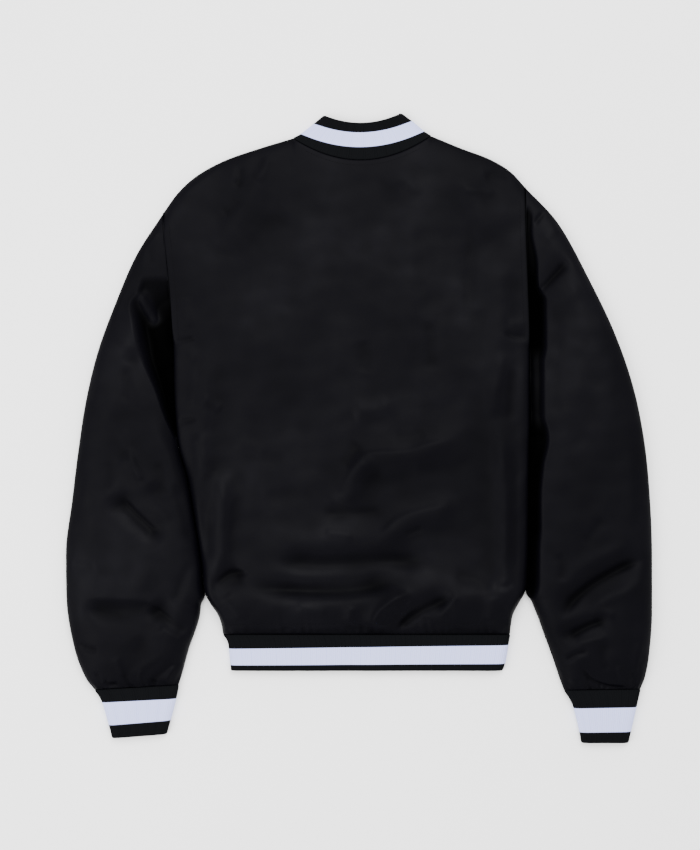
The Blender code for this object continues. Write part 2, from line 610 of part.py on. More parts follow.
def sleeve(side, parts):
    rows = SLEEVES[side]
    upper, lower = tube_shares(0.15, 0.040, 4, 5, 4)
    at = np.concatenate([[0, 0.35], np.linspace(0.8, 9, 15), [9.5, 10, 10.5, 11]])
    outer = tube_grid(beside_body(tube_rows(rows, at), side), at, len(rows) - 1, upper, lower)
    # The first ring follows the edge of the body, a seam's gap away from it.
    sign = SIGN[side]
    seam_y = outer[0, :, 1]
    outer[0, :, 0] = body(side + "_x", seam_y) + sign * SEAM_GAP
    outer[0, : len(upper), 2] = side_height(side, seam_y[: len(upper)], True)
    outer[0, len(upper) :, 2] = side_height(side, seam_y[len(upper) :], False)
    normals = grid_normals(outer, True, outer - outer.mean(axis=1, keepdims=True))
    seam = normals[0].copy()
    seam[:, 0] = sign * np.minimum(sign * seam[:, 0], 0)
    normals[0] = unit(seam)
    normals[-1] = without(normals[-1], section_axis(rows[-1]))
    wall("sleeve_" + side, outer, outer - SHELL_WALL * normals, SATIN, parts, wrap=True)


def cuff(side, parts):
    rows = CUFFS[side]
    ribs = round(0.100 / RIB_PITCH)
    upper = np.linspace(0, 1, ribs + 1)
    upper = (upper + 0.35 * (1 - np.cos(math.pi * upper)) / 2) / 1.35
    lower = stations(0, 1, 0.13, 0.13, 2, 3)
    at = np.array([0, 0.5, 1, 2, 3])
    outer = tube_grid(tube_rows(rows, at), at, len(rows) - 1, upper, lower)
    axis = unit(section_axis(rows[0]))
    axis = axis * np.sign(axis[1]) * -1
    outer[0] += SEAM_GAP * axis
    normals = grid_normals(outer, True, outer - outer.mean(axis=1, keepdims=True))
    normals[0] = without(normals[0], axis)
    normals[-1] = without(normals[-1], section_axis(rows[-1]))
    ribbed = np.arange(outer.shape[1]) < ribs
    crests = rib_crests(outer, normals, True)
    wall(
        "cuff_" + side,
        outer,
        outer - RIB_WALL * normals,
        RIB,
        parts,
        wrap=True,
        crests=crests,
        ribbed=ribbed,
    )


# ---------------------------------------------------------------- open strips of rib
def strip_path(left_start, left_fold, right_fold, right_end, reach):
    """Places across, under the left side to its fold, over the top, and back under the right side.

    Returns x as shares of the way from one fold to the other, and which places are above.
    """
    width = right_fold - left_fold
    under = round_steps(reach / width, 2)
    start, end = (left_start - left_fold) / width, (right_end - left_fold) / width
    ribs = round((width + reach) / RIB_PITCH)
    over = np.linspace(0, 1, ribs + 1)
    over = (over + 0.2 * (1 - np.cos(math.pi * over)) / 2) / 1.2
    left = np.concatenate([np.linspace(start, under[-1], 8), under[::-1][1:-1]])
    right = np.concatenate([1 - under[1:-1], np.linspace(1 - under[-1], end, 8)])
    above = np.concatenate([np.zeros(len(left)), np.ones(len(over)), np.zeros(len(right))])
    return np.concatenate([left, over, right]), above > 0.5


def strip_wall(name, outer, above, level_normals, parts):
    """A ribbed strip wall. level_normals turns the normals of the two long edges."""
    ends = outer.mean(axis=1, keepdims=True)
    normals = grid_normals(outer, False, outer - ends)
    normals[0] = without(normals[0], level_normals)
    normals[-1] = without(normals[-1], level_normals)
    for number in (0, -1):
        normals[:, number] = np.array([0, 0, -1])
    ribbed = above[1:] & above[:-1]
    crests = rib_crests(outer, normals, False)
    wall(name, outer, outer - RIB_WALL * normals, RIB, parts, crests=crests, ribbed=ribbed)


def hem_rib(parts):
    index = np.arange(len(HEM_ROWS))
    at = np.arange(len(HEM_ROWS))
    row = HemRow(*(through(index, column(HEM_ROWS, name), at)[:, None] for name in HemRow._fields))
    share, above = strip_path(
        CENTRE_FRONT_X + PLACKET_HALF,
        HEM_ROWS[0].left_x,
        HEM_ROWS[0].right_x,
        CENTRE_FRONT_X - PLACKET_HALF,
        HEM_REACH,
    )
    x = row.left_x + (row.right_x - row.left_x) * share[None, :]
    middle = np.argmax(share)
    side_lift = np.concatenate(
        [placket_lift("left", x[:, :middle]), placket_lift("right", x[:, middle:])], axis=1
    )
    inwards = np.minimum(x - row.left_x, row.right_x - x)
    top = HEM_FOLD_Z + (row.loft - HEM_FOLD_Z) * rounded(inwards, HEM_REACH)
    bottom = HEM_FOLD_Z * (1 - rounded(inwards, HEM_REACH)) + side_lift
    z = np.where(above[None, :], top, bottom)
    outer = np.stack([x, row.y + 0 * x, z], axis=-1)
    strip_wall("hem_rib", outer, above, (0, 1, 0), parts)


def collar_rib(parts):
    first = COLLAR_ROWS[0]
    share, above = strip_path(
        CENTRE_FRONT_X - COLLAR_END_GAP,
        first.left_x,
        first.right_x,
        CENTRE_FRONT_X + COLLAR_END_GAP,
        UNDER_REACH,
    )
    rings = []
    for height_share in (0, 0.25, 0.6, 1):
        level = collar_level(height_share)
        x = level.left_x + (level.right_x - level.left_x) * share
        y = np.where(above, collar_y(level, x, level.back_dip), collar_y(level, x, level.front_dip))
        lift = np.where(x < CENTRE_FRONT_X, placket_lift("left", x), placket_lift("right", x))
        under = collar_height(level, x, False) + lift
        z = np.where(above, collar_height(level, x, True), under)
        rings.append(np.stack([x, y, z], axis=-1))
    outer = np.array(rings)
    outer[0, :, 1] += NECK_GAP
    strip_wall("collar_rib", outer, above, (0, 1, 0), parts)


# ---------------------------------------------------------------- snaps
def snap_caps(parts):
    """Round caps on the outside of the left front, between it and the surface."""
    for number, y in enumerate(np.linspace(SNAP_TOP_Y, SNAP_BOTTOM_Y, SNAP_COUNT)):
        bpy.ops.mesh.primitive_cone_add(
            vertices=20,
            radius1=SNAP_FOOT_RADIUS,
            radius2=SNAP_RADIUS,
            depth=SNAP_HEIGHT,
            location=(CENTRE_FRONT_X, y, SNAP_HEIGHT / 2),
        )
        cap = bpy.context.object
        cap.name = f"snap_cap_{number + 1}"
        cap.data.name = cap.name
        cap.data.materials.append(material(*CAP))
        for collection in list(cap.users_collection):
            collection.objects.unlink(cap)
        parts.objects.link(cap)


def build():
    for old in list(bpy.data.objects):
        bpy.data.objects.remove(old, do_unlink=True)
    parts = bpy.data.collections.new("varsity_jacket")
    bpy.context.scene.collection.children.link(parts)
    back_panel(parts)
    for side in SIGN:
        front_panel(side, parts)
        sleeve(side, parts)
        cuff(side, parts)
    hem_rib(parts)
    collar_rib(parts)
    snap_caps(parts)


build()
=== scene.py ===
import math
from collections import namedtuple

import bpy
import numpy as np
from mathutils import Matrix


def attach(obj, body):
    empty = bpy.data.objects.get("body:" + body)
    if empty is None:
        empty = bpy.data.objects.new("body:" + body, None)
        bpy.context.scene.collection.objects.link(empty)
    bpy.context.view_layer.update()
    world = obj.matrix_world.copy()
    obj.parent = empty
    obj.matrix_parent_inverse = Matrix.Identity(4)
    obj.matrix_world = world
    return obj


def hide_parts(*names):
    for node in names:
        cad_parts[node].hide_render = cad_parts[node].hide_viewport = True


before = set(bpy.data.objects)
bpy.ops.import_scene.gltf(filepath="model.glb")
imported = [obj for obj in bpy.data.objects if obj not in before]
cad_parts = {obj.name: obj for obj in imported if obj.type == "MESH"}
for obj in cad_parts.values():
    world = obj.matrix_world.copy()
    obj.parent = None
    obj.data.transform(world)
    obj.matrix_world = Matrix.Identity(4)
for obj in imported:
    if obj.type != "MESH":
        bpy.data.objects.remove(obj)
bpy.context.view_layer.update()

# ---------------------------------------------------------------- sizes, in metres
SATIN_WALL = 0.0015
KNIT_WALL = 0.0026
LEAST_HEIGHT = 0.0003  # of a wall's inner side over the surface
SEAM_GAP = 0.0004
NECK_GAP = 0.0002
CENTRE_FRONT_X = 0.006
PLACKET_HALF = 0.015
PLACKET_WIDTH = 0.030
PLACKET_LIFT = {"left": 0.0024, "right": 0.0058}
LIFT_MARGIN = 0.002
LIFT_RAMP = 0.016
FOLD_Z = 0.0065
UNDER_REACH = 0.011
SHOULDER_REACH = 0.030
ARMHOLE_REACH = 0.030
NECK_REACH = 0.012
NECK_TURN = 0.010
HEM_SEAM_Y = -0.268
HEM_FOLD_Z = 0.007
HEM_REACH = 0.011
COLLAR_END_GAP = 0.003
BESIDE_GAP = 0.00005
BESIDE_END_Y = {"left": -0.230, "right": -0.226}
BESIDE_EASE = 0.018
INNER_FOLD_DROP = 0.42  # share by which a sleeve's inner fold is lower than its outer one
UNDERARM_Y = {"left": 0.112, "right": 0.107}
SIGN = {"left": -1, "right": 1}
SIDE_REACH = {"left": 0.010, "right": 0.014}  # how far in from its side folds the back rounds over

SEAM_ROLL = 0.0034  # width over which cloth turns down into a seam
SEAM_DROP = 0.0011
ARMHOLE_DROP_SHARE = 0.4  # of that drop, at the back's side of an armhole
ARMHOLE_DROP_REACH = 0.02
UNDER_DROP_SHARE = 0.5  # of that drop, on the fronts and where a sleeve starts
KNIT_ROLL = 0.0022
KNIT_DROP = 0.0012
RIB_STEP = 0.0025  # from one knitted rib to the next
RIB_DEPTH = 0.0006
RIB_ROUNDNESS = 0.55
RIB_LENGTH = 0.05  # from a rib's seam to its end
RIB_GRID = 0.00046  # between points across the waistband and the collar

RIPPLE_HEIGHT = 0.0004
RIPPLES = ((20, 0.052), (75, 0.041), (130, 0.063), (163, 0.034), (100, 0.027))  # way, length
BODY_GATHER_PITCH = 0.0115
BODY_GATHER_LENGTH = 0.020
BACK_GATHER = 0.0009  # height
FRONT_GATHER = 0.0005
SLEEVE_GATHER = 0.0011
SLEEVE_GATHER_PITCH = 0.0105
SLEEVE_GATHER_LENGTH = 0.020
GATHER_START = 0.003  # this far from a seam the gathers reach their height
PLACKET_RIDGE = 0.0003  # where a placket's inner edge shows through
PLACKET_RIDGE_WIDTH = 0.0011

# How far in from an edge each kind of relief reaches its height.
FOLD_EASE = 0.024
CREASE_EASE = 0.010
HEM_EASE = 0.015
UNDER_EASE = 0.02
PLACKET_CLEAR = 0.04
SLEEVE_OUTER_EASE = 0.016
SLEEVE_INNER_EASE = 0.004
# The same for a tube, in rows of its table.
FOLD_ROWS = 1.5
SEAM_ROWS = 0.06
FOLD_SHADE_ROWS = (3.5, 0.5)  # where the painted dark shade beside the body starts, and how fast

LEAST_HOLLOW = 0.0012  # between a tube's two layers
HOLLOW_EASE = 0.005
LAYER_SOFTNESS = 0.0008
LAYER_EASE = 0.01
# What a sleeve's gathers, seams and threads take for its width and for a row of its table.
SLEEVE_WIDTH = 0.15
CUFF_ROW, SHOULDER_ROW, SLEEVE_ROW = 0.033, 0.045, 0.055
SLEEVE_RISE = (0.12, 0.012)  # width and reach over which its gathers start at a fold
HEM_WAVE = 0.0007
HEM_WAVE_EASE = 0.02
UNDER_ROLL_LESS = 0.7  # share by which a rib's ends turn down less underneath
# Shade painted into the satin where it lies below the cloth round it: the times its heights are
# averaged, the depths and the shades.
HOLLOW_BLUR = 40
HOLLOW_DEPTHS = (0.003, 0.004)  # the first one below what is round it, and the next
HOLLOW_SHADES = (0.35, 0.2)
CREASE_POINTS = 17  # along a crease's path
CREASE_REACH = 3  # widths
CREASE_END = 0.15
SHARP_ANGLE = 50  # degrees

STITCH = 0.0026
STITCH_GAP = 0.0009
THREAD = 0.00022  # radius
# Where the threads run: the number of a line of the grid, or a distance in from the edge.
BACK_HEM_ROW, FRONT_HEM_ROW, CUFF_THREAD_ROW = 9, 7, -8
ARMHOLE_COLUMNS = {"left": 6, "right": -7}
ARMHOLE_START, ARMHOLE_STOP = 0.006, 0.012  # over the underarm, and below the shoulder point
NECK_THREAD_INSET = 0.0078
PLACKET_THREAD_INSET = 0.002

# The steps between a grid's points, at its edges and in its middle: in metres across the panels,
# in rows of the table along the tubes and the waistband, and else in shares of the whole.
BACK_ACROSS, BACK_ALONG = (0.0006, 0.0024), (0.0009, 0.0037)
FRONT_ACROSS, FRONT_ALONG = (0.0007, 0.0042), (0.0011, 0.0066)
SLEEVE_UPPER, SLEEVE_LOWER, SLEEVE_ALONG = (0.0035, 0.0125), (0.006, 0.026), (0.008, 0.036)
CUFF_UPPER, CUFF_LOWER = (0.0042, 0.0046), (0.0042, 0.0062)
RIB_ALONG, COLLAR_ALONG = (0.03, 0.16), (0.012, 0.06)

# ---------------------------------------------------------------- tables
BodyRow = namedtuple("BodyRow", "y left_x right_x loft fold_z")
BODY_ROWS = (
    BodyRow(HEM_SEAM_Y, -0.1770, 0.1965, 0.0140, 0.0070),
    BodyRow(-0.256, -0.1790, 0.1978, 0.0210, 0.0080),
    BodyRow(-0.242, -0.1840, 0.2005, 0.0260, 0.0090),
    BodyRow(-0.228, -0.1935, 0.2075, 0.0280, 0.0090),
    BodyRow(-0.214, -0.2005, 0.2155, 0.0275, 0.0085),
    BodyRow(-0.179, -0.2045, 0.2195, 0.0215, 0.0080),
    BodyRow(-0.120, -0.2140, 0.2205, 0.0165, 0.0075),
    BodyRow(-0.064, -0.2240, 0.2210, 0.0150, 0.0070),
    BodyRow(-0.027, -0.2345, 0.2215, 0.0145, FOLD_Z),
    BodyRow(0.014, -0.2390, 0.2225, 0.0140, FOLD_Z),
    BodyRow(0.056, -0.2410, 0.2225, 0.0140, FOLD_Z),
    BodyRow(0.110, -0.2418, 0.2222, 0.0140, FOLD_Z),
    BodyRow(0.179, -0.2458, 0.2198, 0.0140, FOLD_Z),
    BodyRow(0.228, -0.2508, 0.2180, 0.0140, FOLD_Z),
    BodyRow(0.280, -0.2548, 0.2165, 0.0140, FOLD_Z),
    BodyRow(0.330, -0.2548, 0.2165, 0.0140, FOLD_Z),
    BodyRow(0.380, -0.2548, 0.2165, 0.0135, FOLD_Z),
)
ShoulderRow = namedtuple("ShoulderRow", "x y")
LEFT_SHOULDER = (
    ShoulderRow(-0.2548, 0.2795),
    ShoulderRow(-0.2390, 0.3020),
    ShoulderRow(-0.2250, 0.3170),
    ShoulderRow(-0.2070, 0.3310),
    ShoulderRow(-0.1760, 0.3475),
    ShoulderRow(-0.1290, 0.3640),
    ShoulderRow(-0.0860, 0.3770),
)
RIGHT_SHOULDER = (
    ShoulderRow(0.0940, 0.3800),
    ShoulderRow(0.1330, 0.3640),
    ShoulderRow(0.1740, 0.3480),
    ShoulderRow(0.1990, 0.3320),
    ShoulderRow(0.2165, 0.3130),
)
LEFT_NECK, RIGHT_NECK = LEFT_SHOULDER[-1], RIGHT_SHOULDER[0]
SHOULDER_POINT = {"left": LEFT_SHOULDER[0], "right": RIGHT_SHOULDER[-1]}

CollarRow = namedtuple(
    "CollarRow", "share left_x left_y right_x right_y back_dip front_dip loft fold_z"
)
COLLAR_ROWS = (
    CollarRow(0.00, -0.0860, 0.3770, 0.0940, 0.3800, 0.0300, 0.0855, 0.0130, FOLD_Z),
    CollarRow(0.25, -0.0760, 0.3822, 0.0850, 0.3856, 0.0190, 0.0730, 0.0135, 0.0066),
    CollarRow(0.70, -0.0590, 0.3955, 0.0690, 0.3990, 0.0135, 0.0695, 0.0130, 0.0064),
    CollarRow(1.00, -0.0456, 0.4066, 0.0551, 0.4095, 0.0112, 0.0670, 0.0120, 0.0060),
)
HemRow = namedtuple("HemRow", "y left_x right_x loft")
HEM_ROWS = (
    HemRow(HEM_SEAM_Y - SEAM_GAP, -0.1770, 0.1965, 0.0140),
    HemRow(-0.2790, -0.1705, 0.1945, 0.0150),
    HemRow(-0.3030, -0.1675, 0.1905, 0.0148),
    HemRow(-0.3155, -0.1665, 0.1865, 0.0135),
)
TubeRow = namedtuple(
    "TubeRow", "outer_x outer_y inner_x inner_y loft fold_z outer_reach inner_reach"
)
SLEEVES = {
    "left": (
        TubeRow(-0.2548, 0.2795, -0.2418, 0.1120, 0.0140, FOLD_Z, 0.030, 0.030),
        TubeRow(-0.2900, 0.2240, -0.2440, 0.0760, 0.0190, 0.0085, 0.040, 0.046),
        TubeRow(-0.3170, 0.1610, -0.2438, 0.0340, 0.0230, 0.0100, 0.042, 0.050),
        TubeRow(-0.3395, 0.0990, -0.2415, -0.0080, 0.0255, 0.0110, 0.044, 0.044),
        TubeRow(-0.3550, 0.0350, -0.2330, -0.0450, 0.0265, 0.0110, 0.044, 0.032),
        TubeRow(-0.3650, -0.0300, -0.2215, -0.0930, 0.0270, 0.0110, 0.044, 0.026),
        TubeRow(-0.3730, -0.0950, -0.2125, -0.1440, 0.0270, 0.0110, 0.044, 0.026),
        TubeRow(-0.3810, -0.1620, -0.2045, -0.1930, 0.0270, 0.0110, 0.044, 0.028),
        TubeRow(-0.3800, -0.2260, -0.2065, -0.2400, 0.0280, 0.0110, 0.044, 0.034),
        TubeRow(-0.3695, -0.2880, -0.2215, -0.2880, 0.0265, 0.0105, 0.038, 0.034),
        TubeRow(-0.3560, -0.3240, -0.2300, -0.3190, 0.0210, 0.0090, 0.026, 0.024),
        TubeRow(-0.3445, -0.3400, -0.2345, -0.3335, 0.0135, 0.0067, 0.012, 0.012),
    ),
    "right": (
        TubeRow(0.2165, 0.3130, 0.2220, 0.1070, 0.0140, FOLD_Z, 0.030, 0.030),
        TubeRow(0.2600, 0.2650, 0.2246, 0.0690, 0.0190, 0.0085, 0.040, 0.034),
        TubeRow(0.3000, 0.1920, 0.2256, 0.0250, 0.0230, 0.0100, 0.042, 0.030),
        TubeRow(0.3330, 0.1220, 0.2252, -0.0200, 0.0255, 0.0110, 0.044, 0.028),
        TubeRow(0.3570, 0.0520, 0.2242, -0.0670, 0.0265, 0.0110, 0.044, 0.026),
        TubeRow(0.3715, -0.0210, 0.2234, -0.1150, 0.0270, 0.0110, 0.044, 0.026),
        TubeRow(0.3785, -0.0960, 0.2228, -0.1620, 0.0270, 0.0110, 0.044, 0.026),
        TubeRow(0.3810, -0.1700, 0.2215, -0.2080, 0.0275, 0.0110, 0.044, 0.028),
        TubeRow(0.3810, -0.2380, 0.2350, -0.2520, 0.0280, 0.0110, 0.042, 0.034),
        TubeRow(0.3775, -0.2920, 0.2510, -0.2960, 0.0265, 0.0105, 0.038, 0.034),
        TubeRow(0.3725, -0.3220, 0.2605, -0.3240, 0.0210, 0.0090, 0.026, 0.026),
        TubeRow(0.3665, -0.3390, 0.2665, -0.3405, 0.0135, 0.0067, 0.012, 0.012),
    ),
}
CUFFS = {
    "left": (
        TubeRow(-0.3445, -0.3400, -0.2345, -0.3335, 0.0135, 0.0067, 0.011, 0.011),
        TubeRow(-0.3345, -0.3560, -0.2380, -0.3510, 0.0145, 0.0068, 0.011, 0.011),
        TubeRow(-0.3255, -0.3860, -0.2455, -0.3795, 0.0142, 0.0066, 0.011, 0.011),
        TubeRow(-0.3212, -0.4035, -0.2505, -0.3980, 0.0130, 0.0062, 0.010, 0.010),
    ),
    "right": (
        TubeRow(0.3665, -0.3390, 0.2665, -0.3405, 0.0135, 0.0067, 0.011, 0.011),
        TubeRow(0.3620, -0.3580, 0.2780, -0.3595, 0.0145, 0.0068, 0.011, 0.011),
        TubeRow(0.3540, -0.3930, 0.2870, -0.3940, 0.0142, 0.0066, 0.011, 0.011),
        TubeRow(0.3505, -0.4095, 0.2895, -0.4095, 0.0130, 0.0062, 0.010, 0.010),
    ),
}
# Where each white stripe starts and ends, as a share of its rib from the seam to the end, at the
# rib's left and at its right.
StripeRow = namedtuple("StripeRow", "piece left_start right_start left_end right_end")
STRIPES = {
    row.piece: row
    for row in (
        StripeRow("hem_rib", 0.39, 0.29, 0.84, 0.80),
        StripeRow("collar_rib", 0.25, 0.25, 0.70, 0.70),
        StripeRow("cuff_left", 0.27, 0.27, 0.72, 0.72),
        StripeRow("cuff_right", 0.34, 0.34, 0.79, 0.79),
    )
}

# The solids' folds: the middle of each, the way it runs in degrees from +X, its length and width,
# its height over the cloth round it, and how far its ends bend to its left.
FoldRow = namedtuple("FoldRow", "x y angle length width height bend")
FOLDS = (
    FoldRow(-0.203, -0.020, 88, 0.260, 0.016, 0.0045, 0.004),
    FoldRow(-0.181, -0.140, 84, 0.200, 0.014, 0.0050, 0.000),
    FoldRow(0.186, -0.110, 92, 0.300, 0.015, 0.0050, 0.000),
    FoldRow(0.178, 0.120, 86, 0.240, 0.018, 0.0030, 0.000),
    FoldRow(-0.150, 0.285, 62, 0.130, 0.018, 0.0035, 0.000),
    FoldRow(0.150, 0.290, 118, 0.110, 0.018, 0.0035, 0.000),
    FoldRow(0.060, -0.032, 13, 0.190, 0.020, 0.0044, 0.004),
    FoldRow(-0.006, -0.068, 61, 0.080, 0.015, 0.0050, 0.000),
    FoldRow(0.075, -0.113, 23, 0.140, 0.017, 0.0036, -0.006),
    FoldRow(-0.030, -0.145, 2, 0.220, 0.018, 0.0040, 0.000),
    FoldRow(-0.010, -0.174, 2, 0.220, 0.016, -0.0045, 0.000),
    FoldRow(-0.042, -0.204, 4, 0.230, 0.014, -0.0070, 0.004),
    FoldRow(-0.172, -0.196, 20, 0.055, 0.013, -0.0045, -0.006),
    FoldRow(0.034, -0.236, 52, 0.080, 0.013, 0.0050, 0.000),
    FoldRow(0.080, -0.236, 25, 0.100, 0.013, -0.0055, 0.000),
    FoldRow(0.150, -0.214, 12, 0.110, 0.016, 0.0035, 0.000),
    FoldRow(0.248, 0.196, 43, 0.070, 0.014, -0.0040, 0.000),
    FoldRow(0.312, -0.202, 33, 0.150, 0.016, -0.0075, 0.006),
    FoldRow(0.290, -0.259, 21, 0.080, 0.013, -0.0055, 0.000),
    FoldRow(-0.290, 0.128, 76, 0.090, 0.016, 0.0035, 0.000),
    FoldRow(-0.286, -0.057, -54, 0.070, 0.015, 0.0045, 0.000),
    FoldRow(-0.285, -0.114, -43, 0.100, 0.016, -0.0065, 0.000),
    FoldRow(-0.300, -0.236, -3, 0.130, 0.015, -0.0060, 0.000),
    FoldRow(-0.243, -0.248, -38, 0.070, 0.014, -0.0055, 0.000),
)
# The finer creases, a row each, in millimetres: its width at its start and end, its height over the
# cloth round it, its lean, above 0 where its left side is the steeper one, and points along it.
Crease = namedtuple("Crease", "width end_width height lean path")


def creases(*rows):
    """The rows of a table as creases in metres."""
    return [
        Crease(width / 1000, end_width / 1000, height / 1000, lean, np.array(path) / 1000)
        for width, end_width, height, lean, *path in rows
    ]


BACK_CREASES = creases(
    # left side, two short dents and the ridge between them
    (4.6, 3.4, -1.6, 0.2, (-241.8, 113.1), (-227.5, 114.4), (-211.9, 117)),
    (4.6, 3.4, -1.4, 0.2, (-240.5, 6.5), (-227.5, 9.1), (-210.6, 13)),
    (8, 8, 1.7, 0.2, (-217.1, 106.6), (-217.1, 68.9), (-215.8, 20.8)),
    (7, 6, 1.4, 0, (-204.1, 39), (-191.1, 32.5), (-178.1, 23.4)),
    (10, 9, 1.9, 0, (-209.3, -5.2), (-205.4, -35.1), (-193.7, -67.6)),
    (13, 10, 3, 0, (-185.9, -54.6), (-179.4, -119.6), (-178.1, -187.2)),
    (6, 5, -1, 0, (-202.8, -93.6), (-198.9, -132.6), (-196.3, -171.6)),
    (11, 10, 0.9, 0, (-159.9, -15.6), (-139.1, -26), (-118.3, -31.2)),
    # right side
    (4.4, 6, -1.7, -0.2, (187.2, 123.5), (206.7, 118.3), (224.9, 118.3)),
    (7, 7, 1.1, 0, (193.7, 133.9), (209.3, 135.2), (224.9, 136.5)),
    (8, 10, 1.7, 0, (185.9, 98.8), (183.3, 72.8), (174.2, 42.9), (172.9, 10.4)),
    (7, 7, -1.4, 0, (200.2, 78), (198.9, 44.2), (196.3, 7.8)),
    (12, 10, 2.8, 0.2, (180.7, -15.6), (189.8, -93.6), (185.9, -195)),
    (15, 12, 1.4, 0, (58.5, 351), (65, 231.4), (62.4, 62.4)),
    (9, 9, -1.7, 0, (92.3, 140.4), (93.6, 107.9), (96.2, 72.8)),
    (10, 11, -1.4, 0, (144.3, 275.6), (145.6, 215.8), (139.1, 137.8)),
    (11, 10, -1.2, 0, (3.9, 114.4), (9.1, 93.6), (6.5, 70.2)),
    # across the middle, right of the spine
    (8, 13, 2, 0.55, (-23.4, -83.2), (-11.7, -59.8), (3.9, -37.7), (23.4, -32.5), (57.2, -32.5),
     (87.1, -23.4), (126.1, -15.6)),
    (8, 8, -1.4, 0, (1.3, -18.2), (-10.4, -35.1), (-19.5, -52)),
    (8, 7, -1.1, 0, (45.5, -11.7), (66.3, -13), (87.1, -5.2)),
    (9, 10, 0.8, 0, (22.1, -59.8), (48.1, -57.2), (84.5, -52)),
    (10, 16, 2.2, 0.55, (27.3, -143), (48.1, -120.9), (74.1, -110.5), (120.9, -101.4)),
    (8, 7, -1.9, 0, (-48.1, -111.8), (-11.7, -110.5), (37.7, -107.9)),
    (6, 6, 1.2, 0, (-45.5, -133.9), (-24.7, -136.5), (-6.5, -140.4)),
    (4, 4, -1, 0, (58.5, -137.8), (71.5, -132.6), (83.2, -128.7)),
    (13, 13, 2.4, 0, (-9.1, 20.8), (14.3, 22.1), (42.9, 31.2)),
    (13, 12, -1.1, 0, (-123.5, -85.8), (-89.7, -88.4), (-53.3, -85.8)),
    # where the back blouses over the hem rib
    (13, 10, -2.8, 0, (-105.3, -171.6), (-24.7, -175.5), (40.3, -171.6), (102.7, -180.7)),
    (6, 7, -1.2, 0, (-144.3, -208), (-96.2, -210.6), (-53.3, -213.2), (-11.7, -211.9),
     (32.5, -205.4), (61.1, -193.7)),
    (10, 10, -3.6, 0, (-107.9, -209.3), (-31.2, -213.2), (42.9, -204.1)),
    (4.2, 4, -2.4, 0, (-185.9, -202.8), (-176.8, -193.7), (-163.8, -187.2), (-143, -188.5)),
    (10, 9, 2.5, 0, (-172.9, -213.2), (-162.5, -231.4), (-150.8, -252.2)),
    (7, 6, 2.4, 0, (-10.4, -230.1), (-11.7, -240.5), (-13, -254.8)),
    (4.6, 6, 2.8, 0, (15.6, -261.3), (24.7, -237.9), (41.6, -223.6), (68.9, -211.9)),
    (4.6, 5, 1.9, 0, (45.5, -258.7), (58.5, -239.2), (70.2, -222.3)),
    (4.2, 4, -1.8, 0, (28.6, -253.5), (36.4, -240.5), (48.1, -232.7)),
    (5, 7, -3.2, 0, (45.5, -265.2), (66.3, -245.7), (87.1, -232.7), (123.5, -221)),
    (5.4, 5, 1.8, 0, (105.3, -247), (113.1, -231.4), (128.7, -215.8)),
    (5, 5, -1.5, 0, (79.3, -245.7), (93.6, -250.9), (102.7, -262.6)),
    (2.4, 2.4, -1.6, 0, (119.6, -260), (127.4, -261.3), (137.8, -261.3)),
    (10, 8, 2.5, 0, (170.3, -215.8), (171.6, -236.6), (167.7, -254.8)),
    (9, 8, -1.4, 0, (122.2, -192.4), (148.2, -197.6), (170.3, -210.6)),
    (5, 4, -1.5, 0, (172.9, -202.8), (185.9, -205.4), (198.9, -200.2)),
    (3.4, 3, -1.7, 0, (-115.7, -265.2), (-102.7, -262.6), (-87.1, -257.4)),
    (4, 4, -1.7, 0, (-19.5, -252.2), (-5.2, -260), (18.2, -257.4)),
    (7, 6, 1.1, 0, (-81.9, -228.8), (-61.1, -236.6), (-40.3, -239.2)),
    (4.4, 4, -1.3, 0, (-198.9, -223.6), (-193.7, -239.2), (-183.3, -257.4)),
    (4.2, 3.6, -1.2, 0, (183.3, -226.2), (188.5, -239.2), (187.2, -254.8)),
    # shoulders
    (7, 6, 1.6, 0, (-133.9, 319.8), (-123.5, 335.4), (-118.3, 353.6)),
    (5, 5, -1.6, 0, (-159.9, 312), (-154.7, 325), (-154.7, 340.6)),
    (9, 8, 1.4, 0, (-232.7, 296.4), (-206.7, 325), (-178.1, 341.9)),
    (7, 6, -2, 0, (162.5, 325), (180.7, 330.2), (198.9, 327.6)),
    (7, 6, 1.5, 0, (131.3, 308.1), (154.7, 309.4), (178.1, 304.2)),
    (8, 7, -1.2, 0, (-178.1, 278.2), (-159.9, 291.2), (-157.3, 299)),
    (13, 13, -1.4, 0, (-146.9, 234), (-115.7, 262.6), (-92.3, 278.2)),
    (8, 7, 1, 0, (32.5, 314.6), (58.5, 322.4), (79.3, 301.6)),
    (8, 8, 1.4, 0, (-227.5, 171.6), (-224.9, 150.8), (-223.6, 127.4)),
)
